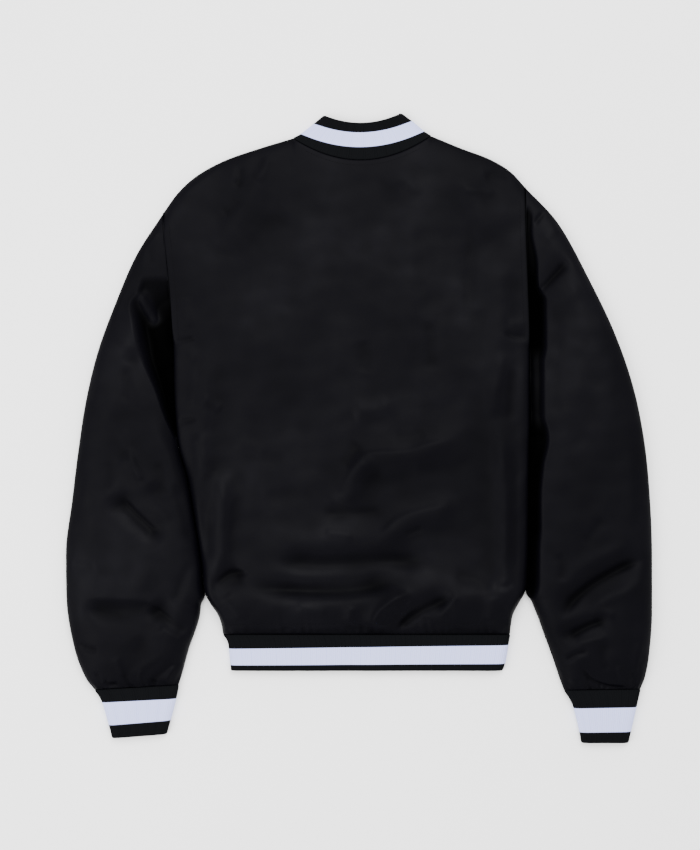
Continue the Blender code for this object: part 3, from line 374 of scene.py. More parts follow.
LEFT_SLEEVE_CREASES = creases(
    # left sleeve, the tongue of cloth in the pocket beside the body
    (8.5, 8.5, 8.5, 0, (-287.3, 176.8), (-275.6, 157.3), (-261.3, 131.3)),
    # left sleeve, down its length
    (5, 5, 1.9, 0, (-296.4, -36.4), (-289.9, -49.4), (-280.8, -68.9)),
    (9, 8, -1.3, 0, (-321.1, -39), (-318.5, -63.7), (-319.8, -88.4)),
    (10, 8, -1.6, 0, (-258.7, -41.6), (-253.5, -65), (-249.6, -88.4)),
    (5.6, 6.4, -2.6, 0.3, (-308.1, -91), (-288.6, -111.8), (-261.3, -137.8)),
    (8, 8, 1.1, 0, (-276.9, -76.7), (-261.3, -97.5), (-243.1, -122.2)),
    (8, 7, -2, 0, (-240.5, -72.8), (-227.5, -105.3), (-217.1, -153.4)),
    (15, 14, 1.6, 0, (-282.1, -153.4), (-280.8, -184.6), (-280.8, -213.2)),
    (6, 6, 1.5, -0.4, (-357.5, -219.7), (-310.7, -221), (-270.4, -224.9), (-249.6, -237.9),
     (-227.5, -256.1)),
    (14, 13, -2.4, 0, (-347.1, -244.4), (-310.7, -248.3), (-276.9, -265.2), (-284.7, -296.4)),
    (7, 6, 2, 0, (-258.7, -257.4), (-241.8, -267.8), (-224.9, -274.3)),
    (5, 5, -2.2, 0, (-364, -279.5), (-351, -286), (-338, -288.6)),
    (5, 4.4, 1.5, 0, (-315.9, -295.1), (-310.7, -308.1), (-305.5, -322.4)),
    (4, 3.6, -3, 0, (-331.5, -326.3), (-323.7, -332.8), (-312, -331.5)),
    (5.4, 6, -2.4, 0, (-275.6, -334.1), (-258.7, -319.8), (-232.7, -300.3)),
    (6, 6, 1.2, 0, (-295.1, -322.4), (-274.3, -305.5), (-253.5, -293.8)),
    (7, 7, -1, 0, (-373.1, -171.6), (-357.5, -179.4), (-339.3, -179.4)),
    (12, 11, 1.3, 0, (-357.5, -54.6), (-349.7, -106.6), (-347.1, -158.6)),
    (7, 6, -1.6, 0, (-217.1, -171.6), (-230.1, -202.8), (-237.9, -228.8)),
    (14, 14, 1.4, 0, (-336.7, 80.6), (-331.5, 44.2), (-321.1, 5.2)),
    (7, 7, -1.3, 0, (-300.3, 80.6), (-300.3, 57.2), (-301.6, 31.2)),
    (7, 6, 1.3, 0, (-308.1, 0), (-300.3, -20.8), (-293.8, -41.6)),
    (7, 7, -1.2, 0, (-282.1, 257.4), (-271.7, 231.4), (-269.1, 208)),
    (5, 4.4, 1.4, 0, (-278.2, 235.3), (-270.4, 244.4), (-262.6, 254.8)),
    # left sleeve, gathered into its cuff
    (3.4, 2.8, -1.4, 0, (-341.9, -314.6), (-334.1, -332.8), (-326.3, -348.4)),
    (3.4, 2.8, -1.6, 0, (-305.5, -314.6), (-299, -332.8), (-293.8, -345.8)),
    (3.2, 3, 1.2, 0, (-284.7, -340.6), (-284.7, -327.6), (-280.8, -312)),
    (4.4, 4, -1.6, 0, (-269.1, -345.8), (-267.8, -335.4), (-263.9, -325)),
    (3.4, 3.2, 1.5, 0, (-250.9, -335.4), (-245.7, -319.8), (-237.9, -306.8)),
    (3.2, 3, -1.4, 0, (-237.9, -335.4), (-232.7, -322.4), (-224.9, -312)),
)
RIGHT_SLEEVE_CREASES = creases(
    # right sleeve, the hollow along the armhole and the body
    (3.2, 3, -1.8, 0, (226.2, 262.6), (234, 273), (248.3, 289.9)),
    (3.4, 4.6, -2.3, 0, (227.5, 171.6), (245.7, 188.5), (270.4, 215.8)),
    (8, 8, 1.2, 0, (237.9, 241.8), (249.6, 254.8), (263.9, 262.6)),
    (9, 9, 0.9, 0, (243.1, 158.6), (261.3, 163.8), (287.3, 182)),
    (9, 8, -1.2, 0, (256.1, 166.4), (257.4, 88.4), (254.8, 0)),
    # right sleeve, down its length
    (5, 7, -3.6, 0.25, (366.6, -170.3), (334.1, -184.6), (301.6, -202.8), (282.1, -219.7),
     (260, -247)),
    (9, 8, 1.5, 0, (375.7, -195), (349.7, -208), (318.5, -221), (297.7, -239.2)),
    (9, 9, 1.1, 0, (349.7, -150.8), (313.3, -166.4), (282.1, -184.6), (261.3, -208)),
    (3.8, 6, -3, 0.2, (317.2, -249.6), (295.1, -257.4), (271.7, -270.4)),
    (5, 5, 1.3, 0, (297.7, -241.8), (315.9, -237.9), (331.5, -243.1)),
    (6, 5, 1.4, 0, (279.5, -279.5), (300.3, -274.3), (321.1, -270.4)),
    (4.4, 4, -2.4, 0, (267.8, -301.6), (280.8, -292.5), (296.4, -288.6)),
    (9, 7, -1.5, 0, (318.5, -275.6), (315.9, -295.1), (321.1, -315.9)),
    (6, 5, 1.5, 0, (258.7, -310.7), (270.4, -321.1), (283.4, -330.2)),
    (3, 3, -2.8, 0.3, (287.3, -309.4), (300.3, -325), (313.3, -331.5), (328.9, -335.4),
     (349.7, -336.7)),
    (7, 6, 1.3, 0, (365.3, -275.6), (360.1, -296.4), (357.5, -317.2)),
    (13, 13, 1.1, 0, (313.3, 62.4), (321.1, 10.4), (318.5, -41.6)),
    (11, 11, 1.2, 0, (347.1, -15.6), (352.3, -80.6), (354.9, -132.6)),
    (12, 12, 1, 0, (280.8, 119.6), (283.4, 72.8), (279.5, 23.4)),
    (9, 8, -1.3, 0, (289.9, -149.5), (302.9, -133.9), (317.2, -115.7)),
    (7, 7, -1.2, 0, (256.1, -161.2), (263.9, -179.4), (261.3, -200.2)),
    # right sleeve, gathered into its cuff
    (3.2, 2.8, -1.2, 0, (295.1, -322.4), (297.7, -332.8), (300.3, -343.2)),
    (3.6, 3.2, 1.3, 0, (334.1, -306.8), (339.3, -322.4), (341.9, -338)),
    (3.4, 3, -1.4, 0, (352.3, -312), (354.9, -325), (357.5, -340.6)),
    (3.6, 3, 1.3, 0, (366.6, -301.6), (367.9, -317.2), (365.3, -335.4)),
    (3.6, 3, -1.2, 0, (263.9, -306.8), (269.1, -322.4), (274.3, -338)),
)
CREASES = {"back": BACK_CREASES, "left": LEFT_SLEEVE_CREASES, "right": RIGHT_SLEEVE_CREASES}
# Where each sleeve sinks beside the body: at a height up the jacket, where the cloth starts to go
# down towards the body, the width over which it goes down, how deep it goes, and the shade painted
# into the satin down there for how little light gets in: 0 for all of it and 1 for none.
PocketRow = namedtuple("PocketRow", "y x slope depth shade")
POCKETS = {
    "left": (
        PocketRow(-0.0300, -0.2310, 0.004, 0.000, 0.5),
        PocketRow(-0.0169, -0.2383, 0.005, 0.012, 0.8),
        PocketRow(0.0143, -0.2529, 0.007, 0.018, 1.0),
        PocketRow(0.0481, -0.2652, 0.012, 0.021, 1.0),
        PocketRow(0.0845, -0.2821, 0.019, 0.022, 1.0),
        PocketRow(0.1161, -0.2916, 0.023, 0.022, 1.0),
        PocketRow(0.1400, -0.2970, 0.022, 0.021, 0.95),
        PocketRow(0.1530, -0.2995, 0.018, 0.017, 0.78),
        PocketRow(0.1640, -0.2975, 0.012, 0.012, 0.55),
        PocketRow(0.1750, -0.2900, 0.010, 0.008, 0.38),
        PocketRow(0.1860, -0.2860, 0.008, 0.004, 0.30),
        PocketRow(0.1960, -0.2850, 0.008, 0.000, 0.25),
    ),
    "right": (
        PocketRow(-0.2240, 0.2320, 0.010, 0.000, 0.45),
        PocketRow(-0.2040, 0.2345, 0.009, 0.010, 0.80),
        PocketRow(-0.1521, 0.2355, 0.008, 0.013, 0.97),
        PocketRow(-0.1261, 0.2368, 0.006, 0.014, 1.0),
        PocketRow(-0.0975, 0.2366, 0.006, 0.014, 1.0),
        PocketRow(-0.0481, 0.2405, 0.007, 0.015, 1.0),
        PocketRow(-0.0156, 0.2475, 0.009, 0.015, 1.0),
        PocketRow(-0.0090, 0.2475, 0.009, 0.014, 1.0),
        PocketRow(0.0180, 0.2420, 0.009, 0.011, 0.48),
        PocketRow(0.0850, 0.2420, 0.009, 0.011, 0.48),
        PocketRow(0.1090, 0.2450, 0.009, 0.014, 1.0),
        PocketRow(0.1660, 0.2445, 0.009, 0.014, 1.0),
        PocketRow(0.1850, 0.2350, 0.006, 0.012, 1.0),
        PocketRow(0.2200, 0.2330, 0.006, 0.007, 0.72),
        PocketRow(0.2500, 0.2275, 0.006, 0.005, 0.62),
        PocketRow(0.2780, 0.2260, 0.004, 0.003, 0.50),
        PocketRow(0.2900, 0.2225, 0.004, 0.000, 0.45),
    ),
}
POCKET_BRINK = 0.026  # the cloth already slopes a little this far out from a pocket
BRINK_SHARE = 0.12  # of the pocket's depth
LIT_RISE = 0.0068  # cloth raised this far in a pocket is in the light again
SHADED_DEPTH = 0.003  # at this depth a pocket has its full shade
FOLD_SHADE = {"left": 0.25, "right": 0.80}  # painted shade where a sleeve and the body lie side by side
FOLD_SHADE_WIDTH = 0.004
LEFT_SHADE_Y = 0.012  # below this the back's left side fold has its painted dark line of shade
LEFT_SHADE_EASE = 0.02
# Soft hollows in the cloth that lies on the surface, which only ever lift it.
UNDER_CREASES = creases(
    (10, 8, 1.3, 0, (-190, 60), (-150, 30), (-120, -20)),
    (12, 10, 1.2, 0, (-120, 180), (-100, 120), (-95, 50)),
    (10, 8, 1.4, 0, (-60, -80), (-95, -130), (-140, -170)),
    (7, 5, 1.2, 0, (-170, -150), (-130, -200), (-110, -250)),
    (5, 4, 1.2, 0, (-70, -200), (-62, -230), (-60, -262)),
    (12, 10, 1.2, 0, (80, 200), (105, 130), (110, 70)),
    (10, 8, 1.3, 0, (180, 50), (140, 10), (100, -10)),
    (10, 9, 1.4, 0, (60, -60), (110, -100), (170, -120)),
    (6, 5, 1.2, 0, (90, -180), (110, -220), (108, -260)),
    (6, 4, 1.1, 0, (160, -190), (150, -226), (156, -260)),
    (10, 8, 1.4, 0, (-300, 90), (-290, 40), (-270, 0)),
    (9, 7, 1.5, 0, (-350, -60), (-310, -80), (-260, -130)),
    (9, 7, 1.4, 0, (-350, -190), (-300, -200), (-240, -230)),
    (6, 4, 1.3, 0, (-320, -270), (-300, -290), (-296, -326)),
    (10, 8, 1.4, 0, (290, 120), (275, 60), (270, 10)),
    (9, 7, 1.5, 0, (350, -50), (300, -90), (250, -120)),
    (9, 7, 1.4, 0, (350, -180), (300, -210), (260, -250)),
    (6, 4, 1.3, 0, (300, -270), (310, -300), (312, -330)),
)


# ---------------------------------------------------------------- curves
def through(stations, values, at):
    """A smooth curve through a table's points: one cubic between stations, with no overshoot."""
    stations, values = np.asarray(stations, float), np.asarray(values, float)
    steps = np.diff(stations)
    rises = np.diff(values) / steps
    slopes = np.concatenate([rises[:1], (rises[1:] + rises[:-1]) / 2, rises[-1:]])
    slopes[1:-1][rises[1:] * rises[:-1] <= 0] = 0
    limit = 3 * np.minimum(np.abs(rises[1:]), np.abs(rises[:-1]))
    slopes[1:-1] = np.clip(slopes[1:-1], -limit, limit)
    at = np.clip(at, stations[0], stations[-1])
    spot = np.clip(np.searchsorted(stations, at, side="right") - 1, 0, len(steps) - 1)
    t = (at - stations[spot]) / steps[spot]
    return (
        values[spot] * (1 + 2 * t) * (1 - t) ** 2
        + slopes[spot] * steps[spot] * t * (1 - t) ** 2
        + values[spot + 1] * t**2 * (3 - 2 * t)
        + slopes[spot + 1] * steps[spot] * t**2 * (t - 1)
    )


def column(rows, name):
    """One column of a table."""
    return np.array([getattr(row, name) for row in rows])


def read(rows, key, name, at):
    """One column of a table as a smooth function of another."""
    return through(column(rows, key), column(rows, name), at)


def body(name, y):
    """One column of the body's table as a smooth function of y."""
    return read(BODY_ROWS, "y", name, y)


def rows_between(rows, at):
    """A table as smooth functions of its row's number, one row for each place."""
    kind, index = type(rows[0]), np.arange(len(rows))
    return kind(*(through(index, column(rows, name), at)[:, None] for name in kind._fields))


def rounded(distance, reach):
    """0 at a fold and 1 from reach inwards, along a quarter of an ellipse."""
    return np.sqrt(1 - (1 - np.clip(distance / reach, 0, 1)) ** 2)


def eased(t):
    """0 below 0 and 1 above 1, with a smooth S between: three t squared less two t cubed."""
    t = np.clip(t, 0, 1)
    return t * t * (3 - 2 * t)


def higher(first, second, soft):
    """The higher of two heights, with a soft change from one to the other."""
    return (first + second + np.sqrt((first - second) ** 2 + soft**2)) / 2


def places(length, fine, coarse):
    """An odd number of places along a length: fine apart at both ends, coarse between them."""
    edge, step = [0.0], fine
    while step < coarse:
        edge.append(edge[-1] + step)
        step *= 1.3
    edge = np.array(edge)
    spans = 2 * max(1, round((length - 2 * edge[-1]) / coarse / 2))
    middle = np.linspace(edge[-1], length - edge[-1], spans + 1)[1:-1]
    return np.concatenate([edge, middle, (length - edge)[::-1]])


# ---------------------------------------------------------------- folds and creases
def folds_height(x, y):
    """The sum of the solids' folds: each is a bell across its run that fades out at both ends."""
    total = np.zeros_like(x)
    for fold in FOLDS:
        turn = math.radians(fold.angle)
        along = (x - fold.x) * math.cos(turn) + (y - fold.y) * math.sin(turn)
        across = (y - fold.y) * math.cos(turn) - (x - fold.x) * math.sin(turn)
        half = fold.length / 2
        across = across - fold.bend * (along / half) ** 2
        window = eased(2 * (1 - np.abs(along) / half))
        total += fold.height * np.exp(-((across / fold.width) ** 2)) * window
    return total


def smooth_path(points, count):
    """Points evenly spread along a smooth curve through a crease's points."""
    points = np.array(points, float)
    lengths = np.concatenate([[0], np.cumsum(np.linalg.norm(np.diff(points, axis=0), axis=1))])
    at = np.linspace(0, lengths[-1], count)
    return np.stack([through(lengths, points[:, i], at) for i in (0, 1)], axis=-1)


def crease_height(x, y, crease):
    """One crease: its height times a bell of the distance from its path, uneven on its two sides.

    The bell's width runs from the start width to the end width, and the height fades out over
    the first and last quarter of the path.
    """
    path = smooth_path(crease.path, CREASE_POINTS)
    widest = max(crease.width, crease.end_width) * (1 + abs(crease.lean))
    low, high = path.min(axis=0) - CREASE_REACH * widest, path.max(axis=0) + CREASE_REACH * widest
    near = (x > low[0]) & (x < high[0]) & (y > low[1]) & (y < high[1])
    spots = np.stack([x[near], y[near]], axis=-1)
    starts, steps = path[:-1], np.diff(path, axis=0)
    offsets = spots[:, None] - starts
    share = np.clip((offsets * steps).sum(-1) / (steps**2).sum(-1), 0, 1)
    gaps = offsets - share[..., None] * steps
    distance = np.linalg.norm(gaps, axis=-1)
    nearest = distance.argmin(axis=1)
    each = np.arange(len(nearest))
    along = (nearest + share[each, nearest]) / len(steps)
    offset, step = offsets[each, nearest], steps[nearest]
    side = np.sign(step[:, 0] * offset[:, 1] - step[:, 1] * offset[:, 0])
    width = crease.width + (crease.end_width - crease.width) * along
    width = width * (1 - crease.lean * side)
    window = eased(4 * along + CREASE_END) * eased(4 * (1 - along) + CREASE_END)
    result = np.zeros_like(x)
    result[near] = crease.height * window * np.exp(-((distance[each, nearest] / width) ** 2))
    return result


def creases_height(x, y, table):
    """The sum of a table's creases."""
    total = np.zeros_like(x)
    for crease in table:
        total += crease_height(x, y, crease)
    return total


def fold_shade(side, distance):
    """The painted dark shade along a fold that lies close against another.

    It is full at the fold itself and fades over its width along a quarter of an ellipse.
    """
    return FOLD_SHADE[side] * (1 - rounded(distance, FOLD_SHADE_WIDTH))


def pocket(side, x, y, soft):
    """A sleeve's pocket: its depth, and its painted shade from 0 on open cloth to 1 where it is
    black.

    The depth is a slope that starts at the table's line and flattens out, with a faint brink
    before it. The shade is the slope squared, less where the soft creases raise the cloth.
    """
    rows = POCKETS[side]
    inside = (read(rows, "y", "x", y) - x) * SIGN[side]
    steep = eased(inside / read(rows, "y", "slope", y))
    brink = eased(inside / POCKET_BRINK + 1)
    depth = read(rows, "y", "depth", y)
    reached = eased(depth / SHADED_DEPTH)
    shade = steep**2 * reached * np.clip(read(rows, "y", "shade", y) - soft / LIT_RISE, 0, 1)
    return depth * (steep * (1 - BRINK_SHARE) + brink * BRINK_SHARE), shade


def ripples(x, y):
    """Slight unevenness of cloth: a sum of slow waves that run in different directions."""
    total = np.zeros_like(x)
    for number, (turn, length) in enumerate(RIPPLES):
        turn = math.radians(turn)
        across = x * math.cos(turn) + y * math.sin(turn)
        along = y * math.cos(turn) - x * math.sin(turn)
        bend = 0.9 * np.sin(along * 2 * math.pi / (length * 2.7) + number)
        total += np.sin(across * 2 * math.pi / length + bend + 2.1 * number) * length
    return RIPPLE_HEIGHT * total / 0.11


def gathers(across, along, pitch, length):
    """Small uneven gathers beside a seam: a wave whose pitch and height drift, fading out along."""
    drift = 0.9 * np.sin(across / pitch * 1.31 + 0.7) + 0.7 * np.sin(across / pitch * 0.47 + 2.0)
    wave = np.cos(2 * math.pi * across / pitch + drift)
    uneven = 0.55 + 0.45 * np.sin(across / pitch * 0.83 + 1.1)
    reach = length * (0.6 + 0.4 * np.sin(across / pitch * 1.93))
    return wave * uneven * np.exp(-((along / reach) ** 2))


# ---------------------------------------------------------------- the body's heights
def shoulder_y(x):
    """The line of the two shoulders: a smooth curve through each one's points."""
    left = read(LEFT_SHOULDER, "x", "y", x)
    right = read(RIGHT_SHOULDER, "x", "y", x)
    return np.where(x < CENTRE_FRONT_X, left, right)


def collar_level(share):
    """One level of the collar, from 0 at its seam to 1 at its top edge."""
    return CollarRow(*(read(COLLAR_ROWS, "share", name, share) for name in CollarRow._fields))


def collar_y(level, x, dip):
    """The collar's line at one level: a parabola that dips between the two folds."""
    across = (x - level.left_x) / (level.right_x - level.left_x)
    return level.left_y + (level.right_y - level.left_y) * across - dip * 4 * across * (1 - across)


def collar_height(level, x, upper):
    """Height of the collar's upper or lower layer, rounded at its two folds."""
    inwards = np.minimum(x - level.left_x, level.right_x - x)
    if upper:
        return level.fold_z + (level.loft - level.fold_z) * rounded(inwards, NECK_REACH)
    return level.fold_z * (1 - rounded(inwards, UNDER_REACH))


def in_neck(x):
    """Whether a place lies between the two ends of the neckline."""
    return (x > LEFT_NECK.x) & (x < RIGHT_NECK.x)


def top_y(x, neck_dip):
    """The upper edge of the back or of the fronts: shoulder, neckline, shoulder."""
    return np.where(in_neck(x), collar_y(COLLAR_ROWS[0], x, neck_dip), shoulder_y(x))


def armhole_share(side, y, reach):
    """0 below the underarm and from the shoulder point up, 1 along most of the armhole seam."""
    return rounded(y - UNDERARM_Y[side], reach) * rounded(SHOULDER_POINT[side].y - y, reach)


def side_height(side, y, upper):
    """Height of the body's edge: the side fold, and above the underarm the armhole seam."""
    fold = body("fold_z", y)
    if upper:
        return fold + (body("loft", y) - fold) * armhole_share(side, y, ARMHOLE_REACH)
    return fold * (1 - armhole_share(side, y, UNDER_REACH))


def seam_dip(distance):
    """How far cloth turns down where it runs into a seam."""
    return SEAM_DROP * (1 - rounded(distance, SEAM_ROLL))


def back_height(x, y):
    """The back panel's height.

    Over the loft of the table lie the folds, the creases, the ripples and the hem's gathers. That
    is rounded down to the two side folds, the shoulders and the neck, and dips at each seam.
    """
    from_left, from_right = x - body("left_x", y), body("right_x", y) - x
    left_share = 1 - rounded(from_left, SIDE_REACH["left"])
    right_share = 1 - rounded(from_right, SIDE_REACH["right"])
    from_hem = y - HEM_SEAM_Y
    inwards = top_y(x, COLLAR_ROWS[0].back_dip) - y
    from_side = np.minimum(from_left, from_right)
    soft = folds_height(x, y) * rounded(from_side, FOLD_EASE)
    fine = (creases_height(x, y, CREASES["back"]) + ripples(x, y)) * eased(from_side / CREASE_EASE)
    gathered = BACK_GATHER * gathers(x, from_hem, BODY_GATHER_PITCH, BODY_GATHER_LENGTH)
    middle = body("loft", y) + (soft + fine) * eased(from_hem / HEM_EASE)
    middle = middle + gathered * eased(from_hem / GATHER_START)
    height = (
        middle * (1 - left_share - right_share)
        + side_height("left", y, True) * left_share
        + side_height("right", y, True) * right_share
    )
    at_top = np.where(in_neck(x), collar_height(COLLAR_ROWS[0], x, True), FOLD_Z)
    height = at_top + (height - at_top) * rounded(inwards, SHOULDER_REACH)
    height = height - seam_dip(from_hem) - seam_dip(inwards) * in_neck(x)
    for side, from_side, here in (
        ("left", from_left, x < CENTRE_FRONT_X), ("right", from_right, x >= CENTRE_FRONT_X)
    ):
        share = here * armhole_share(side, y, ARMHOLE_DROP_REACH)
        height = height - ARMHOLE_DROP_SHARE * seam_dip(from_side) * share
    return height


def placket_lift(side, x):
    """How far the lower layer stands off the surface where the two fronts overlap.

    It rises over a ramp that ends a margin before the other front's edge.
    """
    start = CENTRE_FRONT_X + SIGN[side] * (PLACKET_HALF + LIFT_MARGIN + LIFT_RAMP)
    return PLACKET_LIFT[side] * eased((start - x) * SIGN[side] / LIFT_RAMP)


def front_height(side, x, y):
    """A front panel's height.

    It lies on the surface and turns up at the side, the shoulder and the neck, and at the placket.
    Soft hollows and the hem's gathers only lift it, and a ridge shows the placket's inner edge.
    """
    edge = body(side + "_x", y)
    from_edge = np.abs(x - edge)
    share = 1 - rounded(from_edge, UNDER_REACH)
    height = side_height(side, y, False) * share
    at_top = np.where(in_neck(x), collar_height(COLLAR_ROWS[0], x, False), FOLD_Z)
    inwards = top_y(x, COLLAR_ROWS[0].front_dip) - y
    height = at_top + (height - at_top) * rounded(inwards, UNDER_REACH) + placket_lift(side, x)
    from_placket = np.abs(x - CENTRE_FRONT_X + SIGN[side] * PLACKET_HALF)
    loose = eased((from_placket - PLACKET_CLEAR) / UNDER_EASE)
    loose = loose * eased(from_edge / UNDER_EASE) * eased(inwards / UNDER_EASE)
    from_hem = y - HEM_SEAM_Y
    gathered = 1 + gathers(x, from_hem, BODY_GATHER_PITCH, BODY_GATHER_LENGTH)
    gathered = FRONT_GATHER * gathered * np.exp(-((from_hem / BODY_GATHER_LENGTH) ** 2))
    lift = (creases_height(x, y, UNDER_CREASES) + gathered) * loose
    ridge = PLACKET_RIDGE * np.exp(-(((from_placket - PLACKET_WIDTH) / PLACKET_RIDGE_WIDTH) ** 2))
    dips = seam_dip(from_hem) + seam_dip(inwards) * in_neck(x)
    return height + lift + ridge + UNDER_DROP_SHARE * dips


# ---------------------------------------------------------------- walls
def unit(vectors):
    """The vectors at a length of 1."""
    return vectors / np.maximum(np.linalg.norm(vectors, axis=-1, keepdims=True), 1e-9)


def without(normals, direction):
    """The normals with their part along a direction taken out, so that a rim lies across it."""
    direction = unit(np.asarray(direction, float))
    return unit(normals - (normals * direction).sum(-1, keepdims=True) * direction)


def blend(first, second, share):
    """Directions a share of the way from the first ones to the second ones."""
    return unit(first * (1 - share[:, None]) + second * share[:, None])


def grid_normals(grid, wrap, outwards):
    """Normals of a grid of points, all turned to the side that the outwards vectors point to."""
    if wrap:
        padded = np.concatenate([grid[:, -1:], grid, grid[:, :1]], axis=1)
        across = (padded[:, 2:] - padded[:, :-2]) / 2
    else:
        across = np.gradient(grid, axis=1)
    normals = unit(np.cross(np.gradient(grid, axis=0), across))
    return normals * np.sign((normals * outwards).sum())


def closed(grid):
    """The grid with its first column repeated after its last."""
    return np.concatenate([grid, grid[:, :1]], axis=1)


def quads(numbers):
    """The faces of a grid of point numbers: each point with its neighbours further and across."""
    return np.stack(
        [numbers[:-1, :-1], numbers[1:, :-1], numbers[1:, 1:], numbers[:-1, 1:]], axis=-1
    ).reshape(-1, 4)


def rim(outer, inner):
    """Five-sided faces between edges of two grids, where the inner one has half the points."""
    return np.stack([outer[:-2:2], outer[1:-1:2], outer[2::2], inner[1:], inner[:-1]], axis=-1)


def placed(name, mesh):
    """A new object of the mesh in the scene, at the origin."""
    made = bpy.data.objects.new(name, mesh)
    bpy.context.scene.collection.objects.link(made)
    return made


def wall(name, outer, normals, thickness, across, along, wrap, finish, fields):
    """A closed wall of cloth.

    Its outer side is the grid, and its inner side is every second point of the grid moved inwards
    by the thickness. across and along are places in metres for the materials' threads, and fields
    are further numbers that the materials read, one for each point of the grid.
    """
    inner = (outer - thickness * normals)[::2, ::2]
    inner[..., 2] = np.maximum(inner[..., 2], LEAST_HEIGHT)
    outer_numbers = np.arange(outer[..., 0].size).reshape(outer.shape[:2])
    inner_numbers = outer_numbers.size + np.arange(inner[..., 0].size).reshape(inner.shape[:2])
    if wrap:
        outer_numbers, inner_numbers = closed(outer_numbers), closed(inner_numbers)
    fours = np.concatenate([quads(outer_numbers), quads(inner_numbers)[:, ::-1]])
    edges = [
        rim(outer_numbers[0], inner_numbers[0]),
        rim(outer_numbers[-1], inner_numbers[-1])[:, ::-1],
    ]
    if not wrap:
        edges.append(rim(outer_numbers[:, 0], inner_numbers[:, 0])[:, ::-1])
        edges.append(rim(outer_numbers[:, -1], inner_numbers[:, -1]))
    fives = np.concatenate(edges)
    points = np.concatenate([outer.reshape(-1, 3), inner.reshape(-1, 3)])
    corner = points[fours[:, 0]], points[fours[:, 1]], points[fours[:, 2]], points[fours[:, 3]]
    volume = (np.cross(corner[0], corner[1]) * corner[2]).sum()
    volume += (np.cross(corner[0], corner[2]) * corner[3]).sum()
    if volume < 0:
        fours, fives = fours[:, ::-1], fives[:, ::-1]
    loops = np.concatenate([fours.ravel(), fives.ravel()])
    starts = np.concatenate(
        [4 * np.arange(len(fours)), 4 * len(fours) + 5 * np.arange(len(fives))]
    )
    mesh = bpy.data.meshes.new(name)
    mesh.vertices.add(len(points))
    mesh.vertices.foreach_set("co", points.ravel())
    mesh.loops.add(len(loops))
    mesh.loops.foreach_set("vertex_index", loops)
    mesh.polygons.add(len(starts))
    mesh.polygons.foreach_set("loop_start", starts)
    mesh.update(calc_edges=True)
    mesh.validate()
    mesh.polygons.foreach_set("use_smooth", np.ones(len(mesh.polygons), bool))
    mesh.set_sharp_from_angle(angle=math.radians(SHARP_ANGLE))
    fields = {"across": across, "along": along, **fields}
    for field, values in fields.items():
        values = np.broadcast_to(values, outer.shape[:2])
        values = np.concatenate([values.ravel(), values[::2, ::2].ravel()])
        layer = mesh.attributes.new(field, "FLOAT", "POINT")
        layer.data.foreach_set("value", values.astype(np.float32))
    mesh.materials.append(finish)
    return placed(name, mesh)


# ---------------------------------------------------------------- panels
def panel_grid(side_lines, top_x, upper_y, along, height):
    """Points over an area between two side lines, the hem seam and an upper edge.

    top_x holds the columns' places on the upper edge, and each keeps its share of the width
    further down.
    """
    share = (top_x - top_x[0]) / (top_x[-1] - top_x[0])
    y = HEM_SEAM_Y + (upper_y(top_x) - HEM_SEAM_Y)[None, :] * along[:, None]
    first, last = (line(y) for line in side_lines)
    x = first + (last - first) * share[None, :]
    return np.stack([x, y, height(x, y)], axis=-1)


def fold_edge(points, normals, side):
    """At a side fold the walls meet face to face up and down, and at the armhole side to side."""
    level, sideways = without(normals, (0, 0, 1)), without(normals, (1, 0, 0))
    return blend(level, sideways, eased((points[:, 1] - UNDERARM_Y[side]) / ARMHOLE_REACH))


def top_edge(points, normals):
    """At the shoulder the walls meet face to face up and down, and at the neck along the jacket."""
    level, lengthways = without(normals, (0, 0, 1)), without(normals, (0, 1, 0))
    inwards = np.minimum(points[:, 0] - LEFT_NECK.x, RIGHT_NECK.x - points[:, 0])
    return blend(level, lengthways, eased(inwards / NECK_TURN))


def snapped(numbers, *stops):
    """The numbers, with the nearest one to each stop moved onto it."""
    numbers = numbers.copy()
    for stop in stops:
        numbers[np.abs(numbers - stop).argmin()] = stop
    return numbers


def back_panel():
    """The back: a grid between its side folds, from the hem seam to shoulders and neck.

    Its height is that of back_height. Its threads run along the hem, the neck and the armholes.
    """
    left, right = LEFT_SHOULDER[0].x, RIGHT_SHOULDER[-1].x
    top_x = snapped(left + places(right - left, *BACK_ACROSS), LEFT_NECK.x, RIGHT_NECK.x)
    along = places(1, *BACK_ALONG)
    lines = (lambda y: body("left_x", y), lambda y: body("right_x", y))
    outer = panel_grid(
        lines, top_x, lambda x: top_y(x, COLLAR_ROWS[0].back_dip), along, back_height
    )
    normals = grid_normals(outer, False, np.array([0, 0, 1]))
    normals[0] = without(normals[0], (0, 1, 0))
    normals[-1] = top_edge(outer[-1], normals[-1])
    normals[:, 0] = fold_edge(outer[:, 0], normals[:, 0], "left")
    normals[:, -1] = fold_edge(outer[:, -1], normals[:, -1], "right")
    x, y = outer[..., 0], outer[..., 1]
    # Shade painted into the satin: in its hollows, and a dark line along each side fold, on the
    # left only below LEFT_SHADE_Y.
    below = eased((LEFT_SHADE_Y - y) / LEFT_SHADE_EASE)
    shade = np.maximum(painted_shade(outer), fold_shade("left", x - body("left_x", y)) * below)
    shade = np.maximum(shade, fold_shade("right", body("right_x", y) - x))
    made = wall("back", outer, normals, SATIN_WALL, x, y, False, satin(), {"painted_shade": shade})
    threads = [
        stitched_line("back_hem_thread", outer[BACK_HEM_ROW], normals[BACK_HEM_ROW]),
        stitched_line("back_neck_thread", *neck_line(outer, normals, NECK_THREAD_INSET)),
    ]
    for side, number in ARMHOLE_COLUMNS.items():
        start, stop = UNDERARM_Y[side] + ARMHOLE_START, SHOULDER_POINT[side].y - ARMHOLE_STOP
        rows = (y[:, number] > start) & (y[:, number] < stop)
        line, up = outer[rows, number], normals[rows, number]
        threads.append(stitched_line(f"armhole_thread_{side}", line, up))
    return made, threads


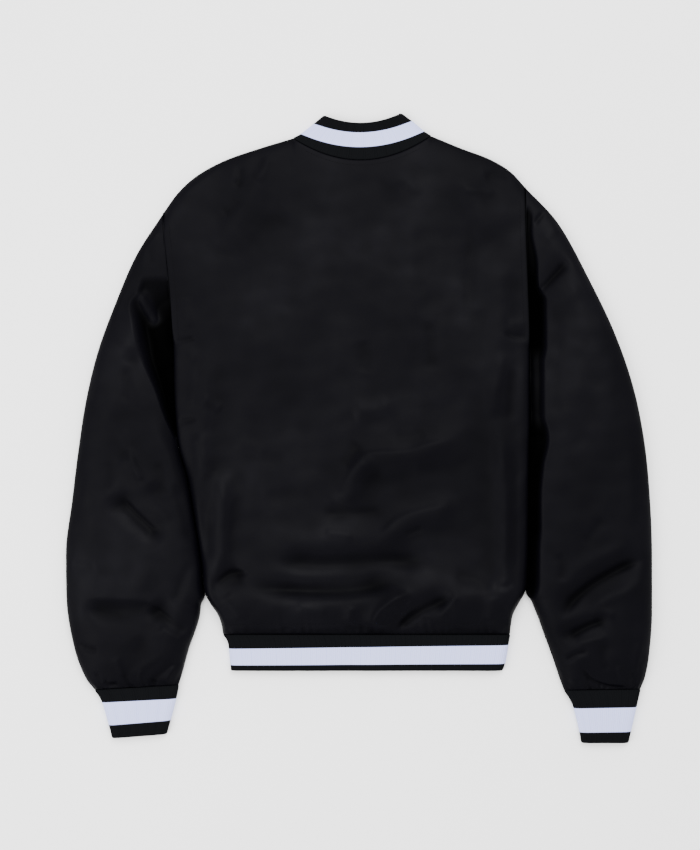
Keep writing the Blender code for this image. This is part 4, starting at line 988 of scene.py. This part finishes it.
def neck_line(outer, normals, inset):
    """The points of the back's grid nearest to a line below the neckline, and their normals."""
    columns = np.flatnonzero(in_neck(outer[-1, :, 0]))[6:-6]
    wanted = outer[-1, columns, 1] - inset
    rows = np.abs(outer[:, columns, 1] - wanted).argmin(axis=0)
    return outer[rows, columns], normals[rows, columns]


def front_panel(side):
    """A front: a grid from its side fold to its placket's edge, at the height of front_height.

    At its folds and shoulder it lies a seam's gap below the back. Its threads run along the
    placket and the hem.
    """
    sign = SIGN[side]
    placket_edge = CENTRE_FRONT_X - sign * PLACKET_HALF
    fold_x = SHOULDER_POINT[side].x
    neck = LEFT_NECK if side == "left" else RIGHT_NECK
    width = abs(placket_edge - fold_x)
    top_x = snapped(fold_x - sign * places(width, *FRONT_ACROSS), neck.x)
    along = places(1, *FRONT_ALONG)
    lines = (lambda y: body(side + "_x", y), lambda y: placket_edge + 0 * y)
    outer = panel_grid(
        lines,
        top_x,
        lambda x: top_y(x, COLLAR_ROWS[0].front_dip),
        along,
        lambda x, y: front_height(side, x, y),
    )
    outer[..., 2] -= SEAM_GAP * (outer[..., 2] > FOLD_Z / 2)
    normals = grid_normals(outer, False, np.array([0, 0, -1]))
    normals[0] = without(normals[0], (0, 1, 0))
    normals[-1] = top_edge(outer[-1], normals[-1])
    normals[:, 0] = fold_edge(outer[:, 0], normals[:, 0], side)
    x, y = outer[..., 0], outer[..., 1]
    made = wall(
        f"front_{side}_satin", outer, normals, SATIN_WALL, x, y, False, satin(), {"painted_shade": 0 * x}
    )
    thread_x = placket_edge + sign * (PLACKET_WIDTH - PLACKET_THREAD_INSET)
    placket = slice(2, -6), np.abs(outer[0, :, 0] - thread_x).argmin()
    hem = FRONT_HEM_ROW, slice(6, -3)
    return made, [
        stitched_line(f"placket_thread_{side}", outer[placket], normals[placket]),
        stitched_line(f"front_hem_thread_{side}", outer[hem], normals[hem]),
    ]


# ---------------------------------------------------------------- tubes
def beside_body(row, side):
    """The same rows with the inner fold laid against the body's side fold."""
    edge = body(side + "_x", row.inner_y) + SIGN[side] * BESIDE_GAP
    share = eased((row.inner_y - BESIDE_END_Y[side]) / BESIDE_EASE)
    return row._replace(inner_x=row.inner_x * (1 - share) + edge * share)


def tube_grid(row, at, last, upper, lower, side, wall_thickness):
    """Points round a tube at places along its table: over its upper side, then back underneath.

    upper and lower hold shares of the width, from the outer fold to the inner one. Each side is
    rounded at both folds, the upper one up to the loft and the lower one down to the surface. The
    upper side keeps clear of the lower one wherever a crease presses it down. Also returns each
    point's painted shade: dark painted into a sleeve's pocket, and along its inner fold beside the
    body.
    """
    share = np.concatenate([upper, lower[::-1][1:-1]])[None, :]
    above = np.concatenate([np.ones(len(upper)), np.zeros(len(lower) - 2)])[None, :]
    x = row.outer_x + (row.inner_x - row.outer_x) * share
    y = row.outer_y + (row.inner_y - row.outer_y) * share
    width = np.hypot(row.inner_x - row.outer_x, row.inner_y - row.outer_y)
    from_outer, from_inner = width * share, width * (1 - share)
    rise = rounded(from_outer, row.outer_reach) * rounded(from_inner, row.inner_reach)
    drop = rounded(from_outer, UNDER_REACH) * rounded(from_inner, UNDER_REACH)
    fine_rise = eased(from_outer / SLEEVE_OUTER_EASE) * eased(from_inner / SLEEVE_INNER_EASE)
    fade = eased(at / FOLD_ROWS)[:, None] * eased(last - at)[:, None]
    near_seam = eased(at / SEAM_ROWS)[:, None]
    fold_z = row.fold_z * (1 - INNER_FOLD_DROP * share * fade * bool(side))
    bottom = fold_z * (1 - drop)
    top = fold_z + (row.loft - fold_z + folds_height(x, y) * fade) * rise
    shade = 0 * x
    if side:
        soft = creases_height(x, y, CREASES[side]) + ripples(x, y) * fade
        depth, shade = pocket(side, x, y, soft)
        top = top + (soft - depth) * fine_rise * near_seam
        bottom = bottom + creases_height(x, y, UNDER_CREASES) * eased(drop * 2 - 1) * fade
    least = rounded(from_outer, HOLLOW_EASE) * rounded(from_inner, HOLLOW_EASE)
    least = bottom + (2 * wall_thickness + LEAST_HOLLOW) * least
    softness = LAYER_SOFTNESS * eased(np.minimum(from_outer, from_inner) / LAYER_EASE)
    top = higher(top, least, softness)
    shade = shade * above
    # A dark line of painted shade along the inner fold beside the body.
    if side:
        first_row, rows = FOLD_SHADE_ROWS
        beside = fold_shade(side, from_inner) * eased((at - first_row) / rows)[:, None]
        shade = np.maximum(shade, beside)
    return np.stack([x, y, top * above + bottom * (1 - above)], axis=-1), shade


def section_axis(row):
    """The way a tube runs, square to one of its sections."""
    return np.array([row.inner_y - row.outer_y, row.outer_x - row.inner_x, 0.0])


def sleeve(side):
    """A sleeve: a tube through its table's rows, flattened, with its creases, pocket and gathers.

    Its first ring follows the edge of the body, a seam's gap away from it.
    """
    rows = SLEEVES[side]
    upper, lower = places(1, *SLEEVE_UPPER), places(1, *SLEEVE_LOWER)
    last = len(rows) - 1
    at = places(last, *SLEEVE_ALONG)
    row = beside_body(rows_between(rows, at), side)
    outer, shade = tube_grid(row, at, last, upper, lower, side, SATIN_WALL)
    sign = SIGN[side]
    count = len(upper)
    seam_y = outer[0, :, 1]
    outer[0, :, 0] = body(side + "_x", seam_y) + sign * SEAM_GAP
    outer[0, :count, 2] = side_height(side, seam_y[:count], True)
    outer[0, count:, 2] = side_height(side, seam_y[count:], False)
    # Close to its two seams the cloth turns down, and it is gathered into the cuff.
    to_cuff = (at[-1] - at)[:, None] * CUFF_ROW
    from_body = at[:, None] * SHOULDER_ROW
    around = np.concatenate([upper, 2 - lower[::-1][1:-1]])[None, :] * SLEEVE_WIDTH
    rise = np.zeros(outer.shape[1])
    width, reach = SLEEVE_RISE
    rise[:count] = rounded(width * np.minimum(upper, 1 - upper), reach)
    ruffle = gathers(around, to_cuff, SLEEVE_GATHER_PITCH, SLEEVE_GATHER_LENGTH)
    ruffle = SLEEVE_GATHER * ruffle * eased(to_cuff / GATHER_START)
    dips = seam_dip(to_cuff) + UNDER_DROP_SHARE * seam_dip(from_body)
    outer[:, :, 2] += rise * (ruffle - dips)
    normals = grid_normals(outer, True, outer - outer.mean(axis=1, keepdims=True))
    seam = normals[0].copy()
    seam[:, 0] = sign * np.minimum(sign * seam[:, 0], 0)
    normals[0] = unit(seam)
    normals[-1] = without(normals[-1], section_axis(rows[-1]))
    along = at[:, None] * SLEEVE_ROW
    # Shade painted into the satin: in its hollows, its pocket and along its inner fold beside the
    # body.
    fields = {"painted_shade": np.maximum(painted_shade(outer), shade)}
    made = wall(
        f"sleeve_{side}_satin", outer, normals, SATIN_WALL, around, along, True, satin(), fields
    )
    line, up = closed(outer)[CUFF_THREAD_ROW], closed(normals)[CUFF_THREAD_ROW]
    return made, [stitched_line(f"cuff_thread_{side}", line, up)]


# ---------------------------------------------------------------- ribs
def rib_wave(places_across):
    """Height of a rib knit, from 0 in its grooves to 1 on its ribs: round ribs, narrow grooves."""
    return np.abs(np.sin(math.pi * places_across / RIB_STEP)) ** RIB_ROUNDNESS


def arc_length(line):
    """How far along a line each of its points is."""
    steps = np.linalg.norm(np.diff(line, axis=0), axis=1)
    return np.concatenate([[0], np.cumsum(steps)])


def knit(name, outer, normals, wrap, below, level, left_share, finish):
    """A rib knit wall: the grid, raised by its ribs, with its stripe's place for the material.

    level is 0 at the seam and 1 at the end, where the knit rolls down a little. The stripe field
    is 0.25 where the stripe starts and 0.75 where it ends. Underneath, the ribs' tops stay where
    the grid is.
    """
    middle = outer[len(outer) // 2]
    across = arc_length(closed(outer)[len(outer) // 2] if wrap else middle)
    if wrap:
        across = across[:-1] * round(across[-1] / RIB_STEP) * RIB_STEP / across[-1]
    raised = RIB_DEPTH * (rib_wave(across) - below)
    roll = np.minimum(level, 1 - level) * RIB_LENGTH
    ends = KNIT_DROP * (1 - rounded(roll, KNIT_ROLL))
    raised = raised[None, :] - ends * (1 - UNDER_ROLL_LESS * below)
    outer = outer + raised[..., None] * normals
    row = STRIPES[name]
    start = row.left_start + (row.right_start - row.left_start) * left_share
    end = row.left_end + (row.right_end - row.left_end) * left_share
    fields = {"stripe": 0.25 + 0.5 * (level - start) / (end - start)}
    along = level * RIB_LENGTH
    return wall(name + "_knit", outer, normals, KNIT_WALL, across, along, wrap, finish, fields)


def cuff(side):
    """A cuff: a flattened tube through its table's rows, knitted in ribs along it."""
    rows = CUFFS[side]
    upper, lower = places(1, *CUFF_UPPER), places(1, *CUFF_LOWER)
    last = len(rows) - 1
    at = places(last, *RIB_ALONG)
    outer, _ = tube_grid(rows_between(rows, at), at, last, upper, lower, None, KNIT_WALL)
    axis = unit(section_axis(rows[0]))
    axis = axis * np.sign(axis[1]) * -1
    outer[0] += SEAM_GAP * axis
    normals = grid_normals(outer, True, outer - outer.mean(axis=1, keepdims=True))
    normals[0] = without(normals[0], axis)
    normals[-1] = without(normals[-1], section_axis(rows[-1]))
    middle = outer.mean(axis=1)
    level = arc_length(middle)
    level = (level / level[-1])[:, None] + np.zeros(outer.shape[1])
    below = np.zeros(outer.shape[1])
    below[len(upper) :] = 1
    return knit(f"cuff_{side}", outer, normals, True, below, level, 0.5, rib_finish())


def strip_path(left_start, left_fold, right_fold, right_end, gap):
    """Places across, under the left side to its fold, over the top, and back under the right side.

    Returns x as shares of the way from one fold to the other, and which places are above.
    """
    width = right_fold - left_fold
    start, end = (left_start - left_fold) / width, (right_end - left_fold) / width
    over = places(1, gap / width * 0.8, gap / width)
    left = start - places(start, gap / width * 0.8, gap * 1.3 / width)
    right = 1 - places(1 - end, gap / width * 0.8, gap * 1.3 / width)
    above = np.concatenate([np.zeros(len(left) - 1), np.ones(len(over)), np.zeros(len(right) - 1)])
    return np.concatenate([left[:-1], over, right[1:]]), above


def strip_normals(outer):
    """Normals of a knitted strip, turned so that its rims lie square to its edges and ends."""
    normals = grid_normals(outer, False, outer - outer.mean(axis=1, keepdims=True))
    normals[0] = without(normals[0], (0, 1, 0))
    normals[-1] = without(normals[-1], (0, 1, 0))
    normals[:, 0] = np.array([0, 0, -1])
    normals[:, -1] = np.array([0, 0, -1])
    return normals


def hem_rib():
    """The waistband: a strip from under the left front, over the top, to under the right one.

    Its upper side is rounded from the side folds to the loft, with a slow wave across, and its
    lower side lies on the surface and lifts where the fronts overlap.
    """
    row = rows_between(HEM_ROWS, places(len(HEM_ROWS) - 1, *RIB_ALONG))
    share, above = strip_path(
        CENTRE_FRONT_X + PLACKET_HALF,
        HEM_ROWS[0].left_x,
        HEM_ROWS[0].right_x,
        CENTRE_FRONT_X - PLACKET_HALF,
        RIB_GRID,
    )
    x = row.left_x + (row.right_x - row.left_x) * share[None, :]
    middle = np.argmax(share)
    side_lift = np.concatenate(
        [placket_lift("left", x[:, :middle]), placket_lift("right", x[:, middle:])], axis=1
    )
    inwards = np.minimum(x - row.left_x, row.right_x - x)
    top = HEM_FOLD_Z + (row.loft - HEM_FOLD_Z) * rounded(inwards, HEM_REACH)
    wave = HEM_WAVE * np.sin(x / 0.019 + 1.2 * np.sin(x / 0.031))
    wave = wave * rounded(inwards, HEM_WAVE_EASE)
    bottom = HEM_FOLD_Z * (1 - rounded(inwards, HEM_REACH)) + side_lift
    z = np.where(above[None, :] > 0.5, top + wave, bottom)
    outer = np.stack([x, row.y + 0 * x, z], axis=-1)
    level = (row.y - row.y[0]) / (row.y[-1] - row.y[0]) + 0 * x
    sideways = np.clip(share, 0, 1)[None, :]
    normals = strip_normals(outer)
    return knit("hem_rib", outer, normals, False, 1 - above, level, sideways, rib_finish())


def collar_rib():
    """The collar: levels from its seam to its top edge, each a strip round the neck.

    The upper side follows the back's parabola and the lower side the front's, and each is rounded
    at the two neck folds.
    """
    first = COLLAR_ROWS[0]
    share, above = strip_path(
        CENTRE_FRONT_X - COLLAR_END_GAP,
        first.left_x,
        first.right_x,
        CENTRE_FRONT_X + COLLAR_END_GAP,
        RIB_GRID,
    )
    rings = []
    levels = places(1, *COLLAR_ALONG)
    for level in map(collar_level, levels):
        x = level.left_x + (level.right_x - level.left_x) * share
        upper_y, lower_y = collar_y(level, x, level.back_dip), collar_y(level, x, level.front_dip)
        lift = np.where(x < CENTRE_FRONT_X, placket_lift("left", x), placket_lift("right", x))
        under = collar_height(level, x, False) + lift
        z = np.where(above > 0.5, collar_height(level, x, True), under)
        rings.append(np.stack([x, np.where(above > 0.5, upper_y, lower_y), z], axis=-1))
    outer = np.array(rings)
    outer[0, :, 1] += NECK_GAP
    level = levels[:, None] + 0 * outer[..., 0]
    normals = strip_normals(outer)
    return knit("collar_rib", outer, normals, False, 1 - above, level, 0.5, rib_finish())


# ---------------------------------------------------------------- stitching
def stitched_line(name, line, normals):
    """A row of stitches on the cloth: short round threads that sink into it at both ends.

    Each stitch is a tube along a piece of the line, lifted by half a sine wave and as thin at
    its ends as a needle hole.
    """
    lengths = arc_length(line)
    count = max(1, int(lengths[-1] / (STITCH + STITCH_GAP)))
    starts = (np.arange(count) + 0.5) * lengths[-1] / count - STITCH / 2
    share = np.linspace(0, 1, 5)
    at = starts[:, None] + STITCH * share
    centre = np.stack([np.interp(at, lengths, line[:, i]) for i in range(3)], axis=-1)
    up = unit(np.stack([np.interp(at, lengths, normals[:, i]) for i in range(3)], axis=-1))
    forward = unit(centre[:, -1:] - centre[:, :1])
    sideways = unit(np.cross(forward, up))
    up = np.cross(sideways, np.broadcast_to(forward, sideways.shape))
    turn = np.linspace(0, 2 * math.pi, 7)[:-1]
    radius = THREAD * (0.45 + 0.55 * np.sin(math.pi * share))[None, :, None, None]
    lift = (THREAD * 0.9 * np.sin(math.pi * share) - THREAD * 0.25)[None, :, None, None]
    ring = np.cos(turn)[None, None, :, None] * sideways[:, :, None] * 1.25
    ring = ring + np.sin(turn)[None, None, :, None] * up[:, :, None]
    points = centre[:, :, None] + lift * up[:, :, None] + radius * ring
    points[..., 2] = np.maximum(points[..., 2], 0)
    number = np.arange(points[..., 0].size).reshape(points.shape[:3])
    number = np.concatenate([number, number[:, :, :1]], axis=2)
    sides = np.stack(
        [number[:, :-1, :-1], number[:, :-1, 1:], number[:, 1:, 1:], number[:, 1:, :-1]], axis=-1
    ).reshape(-1, 4)
    ends = np.concatenate([number[:, 0, -2::-1], number[:, -1, :-1]])
    mesh = bpy.data.meshes.new(name)
    mesh.from_pydata(points.reshape(-1, 3), [], sides.tolist() + ends.tolist())
    mesh.polygons.foreach_set("use_smooth", np.ones(len(mesh.polygons), bool))
    mesh.materials.append(thread_finish())
    return placed(name, mesh)


# ---------------------------------------------------------------- materials
def blurred(values, times):
    """The values, each set a number of times to the mean of its four neighbours."""
    for _ in range(times):
        padded = np.pad(values, 1, mode="edge")
        values = (padded[:-2, 1:-1] + padded[2:, 1:-1] + padded[1:-1, :-2] + padded[1:-1, 2:]) / 4
    return values


def painted_shade(outer):
    """The painted shade of each point: 0 on open cloth, more where it lies below the cloth round
    it.

    It grows evenly over the first depth, and along an S over the next one.
    """
    depth = blurred(outer[..., 2], HOLLOW_BLUR) - outer[..., 2]
    first, more = HOLLOW_DEPTHS
    shade, further = HOLLOW_SHADES
    return shade * np.clip(depth / first, 0, 1) + further * eased((depth - first) / more)


def start_material(name):
    """A material, with its nodes only where it still has to be made."""
    made = bpy.data.materials.get(name)
    if made is not None:
        return made, None, None
    made = bpy.data.materials.new(name)
    made.use_nodes = True
    return made, made.node_tree, made.node_tree.nodes["Principled BSDF"]


def add(tree, kind, **inputs):
    """A new node with some of its inputs set."""
    node = tree.nodes.new(kind)
    for name, value in inputs.items():
        node.inputs[name.replace("_", " ")].default_value = value
    return node


def field(tree, name):
    """A number that the mesh holds for each of its points."""
    node = tree.nodes.new("ShaderNodeAttribute")
    node.attribute_type = "GEOMETRY"
    node.attribute_name = name
    return node.outputs["Fac"]


def noise(tree, scale, detail, place=None, **inputs):
    """Noise of a scale, in the object's own places or in others."""
    node = add(tree, "ShaderNodeTexNoise", Scale=scale, Detail=detail, **inputs)
    place = place or tree.nodes.new("ShaderNodeTexCoord").outputs["Object"]
    tree.links.new(place, node.inputs["Vector"])
    return node.outputs["Fac"]


def scaled(tree, source, factor):
    """A number times a factor."""
    node = tree.nodes.new("ShaderNodeMath")
    node.operation = "MULTIPLY"
    node.inputs[1].default_value = factor
    tree.links.new(source, node.inputs[0])
    return node.outputs[0]


def thread_places(tree, across_scale, along_scale):
    """A vector of the cloth's own places, in threads."""
    joined = tree.nodes.new("ShaderNodeCombineXYZ")
    for name, scale, socket in (("across", across_scale, "X"), ("along", along_scale, "Y")):
        tree.links.new(scaled(tree, field(tree, name), scale), joined.inputs[socket])
    return joined.outputs[0]


def ramp(tree, source, stops):
    """Colours at places from 0 to 1."""
    node = tree.nodes.new("ShaderNodeValToRGB")
    elements = node.color_ramp.elements
    while len(elements) < len(stops):
        elements.new(0.5)
    for element, (place, colour) in zip(elements, stops):
        element.position = place
        element.color = (*colour, 1)
    tree.links.new(source, node.inputs["Fac"])
    return node.outputs["Color"]


def bump(tree, source, distance, strength, under=None):
    """Relief of a height, on top of other relief if there is some."""
    node = add(tree, "ShaderNodeBump", Distance=distance, Strength=strength)
    tree.links.new(source, node.inputs["Height"])
    if under is not None:
        tree.links.new(under, node.inputs["Normal"])
    return node.outputs["Normal"]


def grey(value):
    """One value as a colour."""
    return (value, value, value)


def satin():
    """Black satin: long floats along the cloth, a soft sheen, and shade painted into its colour and
    gloss in deep hollows.
    """
    made, tree, shader = start_material("black_satin")
    if tree is None:
        return made
    patches = noise(tree, 9.0, 3.0)
    creping = noise(tree, 60.0, 4.0, Roughness=0.55)
    floats = noise(tree, 1.0, 1.0, thread_places(tree, 2200.0, 380.0))
    normal = bump(tree, floats, 0.00006, 0.35, bump(tree, creping, 0.0005, 0.5))
    tree.links.new(normal, shader.inputs["Normal"])
    # Open cloth is at 0.17 on both ramps, a little more or less in patches, and the black painted
    # shade of hollows at 1.
    uneven = scaled(tree, patches, 0.34)
    shade_and_patches = tree.nodes.new("ShaderNodeMath")
    shade_and_patches.operation = "ADD"
    tree.links.new(scaled(tree, field(tree, "painted_shade"), 0.83), shade_and_patches.inputs[0])
    tree.links.new(uneven, shade_and_patches.inputs[1])
    colour = ramp(
        tree,
        shade_and_patches.outputs[0],
        (
            (0.0, (0.00155, 0.00140, 0.00270)),
            (0.17, (0.00098, 0.00088, 0.00174)),
            (0.58, (0.0005, 0.0005, 0.0007)),
            (1.0, grey(0.00022)),
        ),
    )
    tree.links.new(colour, shader.inputs["Base Color"])
    # The painted shade also takes away the satin's gloss.
    gloss = ramp(
        tree,
        shade_and_patches.outputs[0],
        ((0.0, grey(0.054)), (0.17, grey(0.035)), (0.58, grey(0.014)), (1.0, grey(0.0))),
    )
    tree.links.new(gloss, shader.inputs["Specular IOR Level"])
    shine = ramp(tree, patches, ((0.3, grey(0.46)), (0.7, grey(0.58))))
    tree.links.new(shine, shader.inputs["Roughness"])
    return made


def rib_finish():
    """Rib knit, black with one white stripe: matt wool with its stitches and fuzz."""
    made, tree, shader = start_material("rib_knit")
    if tree is None:
        return made
    stitches = noise(tree, 1.0, 2.0, thread_places(tree, 1600.0, 1100.0))
    fuzz = noise(tree, 900.0, 2.0)
    normal = bump(tree, fuzz, 0.00008, 0.4, bump(tree, stitches, 0.00018, 0.6))
    tree.links.new(normal, shader.inputs["Normal"])
    black, white = (0.0023, 0.0025, 0.0030), (0.450, 0.488, 0.790)
    colour = ramp(
        tree,
        field(tree, "stripe"),
        ((0.0, black), (0.245, black), (0.255, white), (0.745, white), (0.755, black)),
    )
    tree.links.new(colour, shader.inputs["Base Color"])
    shader.inputs["Roughness"].default_value = 0.9
    shader.inputs["Specular IOR Level"].default_value = 0.03
    return made


def thread_finish():
    """Black sewing thread with a slight twist."""
    made, tree, shader = start_material("black_thread")
    if tree is None:
        return made
    twist = noise(tree, 2500.0, 1.0)
    tree.links.new(bump(tree, twist, 0.00005, 0.5), shader.inputs["Normal"])
    shader.inputs["Base Color"].default_value = (0.0012, 0.0012, 0.0018, 1)
    shader.inputs["Roughness"].default_value = 0.6
    shader.inputs["Specular IOR Level"].default_value = 0.05
    return made


def cap_finish():
    """Black lacquered metal with faint wear."""
    made, tree, shader = start_material("lacquered_cap")
    if tree is None:
        return made
    wear = noise(tree, 700.0, 3.0)
    shine = ramp(tree, wear, ((0.35, grey(0.22)), (0.7, grey(0.40))))
    tree.links.new(shine, shader.inputs["Roughness"])
    tree.links.new(bump(tree, wear, 0.00004, 0.3), shader.inputs["Normal"])
    shader.inputs["Base Color"].default_value = (0.013, 0.013, 0.015, 1)
    shader.inputs["Metallic"].default_value = 0.75
    return made


def floor_finish():
    """A pale matt floor with a faint grain."""
    made, tree, shader = start_material("pale_floor")
    if tree is None:
        return made
    colour = ramp(tree, noise(tree, 4.0, 2.0), ((0.3, grey(0.93)), (0.7, grey(0.95))))
    tree.links.new(colour, shader.inputs["Base Color"])
    shader.inputs["Roughness"].default_value = 0.9
    shader.inputs["Specular IOR Level"].default_value = 0.05
    return made


# ---------------------------------------------------------------- the jacket
def dress(piece, node, threads=()):
    """Gives a cloth piece and its threads their place in the frame, and hides the part it stands in
    for.
    """
    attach(piece, "root")
    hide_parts(node)
    for thread in threads:
        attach(thread, "root")


back, threads = back_panel()
dress(back, "back_panel", threads)
for side in SIGN:
    panel, threads = front_panel(side)
    dress(panel, f"front_{side}", threads)
    arm, threads = sleeve(side)
    dress(arm, f"sleeve_{side}", threads)
    dress(cuff(side), f"cuff_{side}")
dress(hem_rib(), "hem_rib")
dress(collar_rib(), "collar_rib")
for name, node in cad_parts.items():
    if name.startswith("snap_cap"):
        for slot in node.material_slots:
            slot.material = cap_finish()

# ---------------------------------------------------------------- the studio
bpy.ops.mesh.primitive_plane_add(size=8, location=(0, 0, -0.0002))
floor = bpy.context.object
floor.name = "floor"
floor.data.materials.append(floor_finish())

world = bpy.data.worlds.new("studio")
bpy.context.scene.world = world
world.use_nodes = True
sky = world.node_tree.nodes["Background"]
sky.inputs["Color"].default_value = (1, 1, 1, 1)
sky.inputs["Strength"].default_value = 1.9

Lamp = namedtuple("Lamp", "name size watts place")
for lamp in (Lamp("key", 1.6, 100, (0.3, 1.3, 2.6)), Lamp("fill", 1.4, 42, (-1.2, -0.5, 1.7))):
    light = bpy.data.lights.new(lamp.name, "AREA")
    light.shape = "SQUARE"
    light.size = lamp.size
    light.energy = lamp.watts
    holder = bpy.data.objects.new(lamp.name, light)
    holder.location = lamp.place
    holder.rotation_euler = (-holder.location).to_track_quat("-Z", "Y").to_euler()
    bpy.context.scene.collection.objects.link(holder)

lens = bpy.data.cameras.new("camera")
lens.lens = 84.7
lens.sensor_width = 36
camera = bpy.data.objects.new("camera", lens)
camera.location = (-0.0117, 0.0039, 2.61)
camera.rotation_euler = (0, 0, 0)
bpy.context.scene.collection.objects.link(camera)
bpy.context.scene.camera = camera
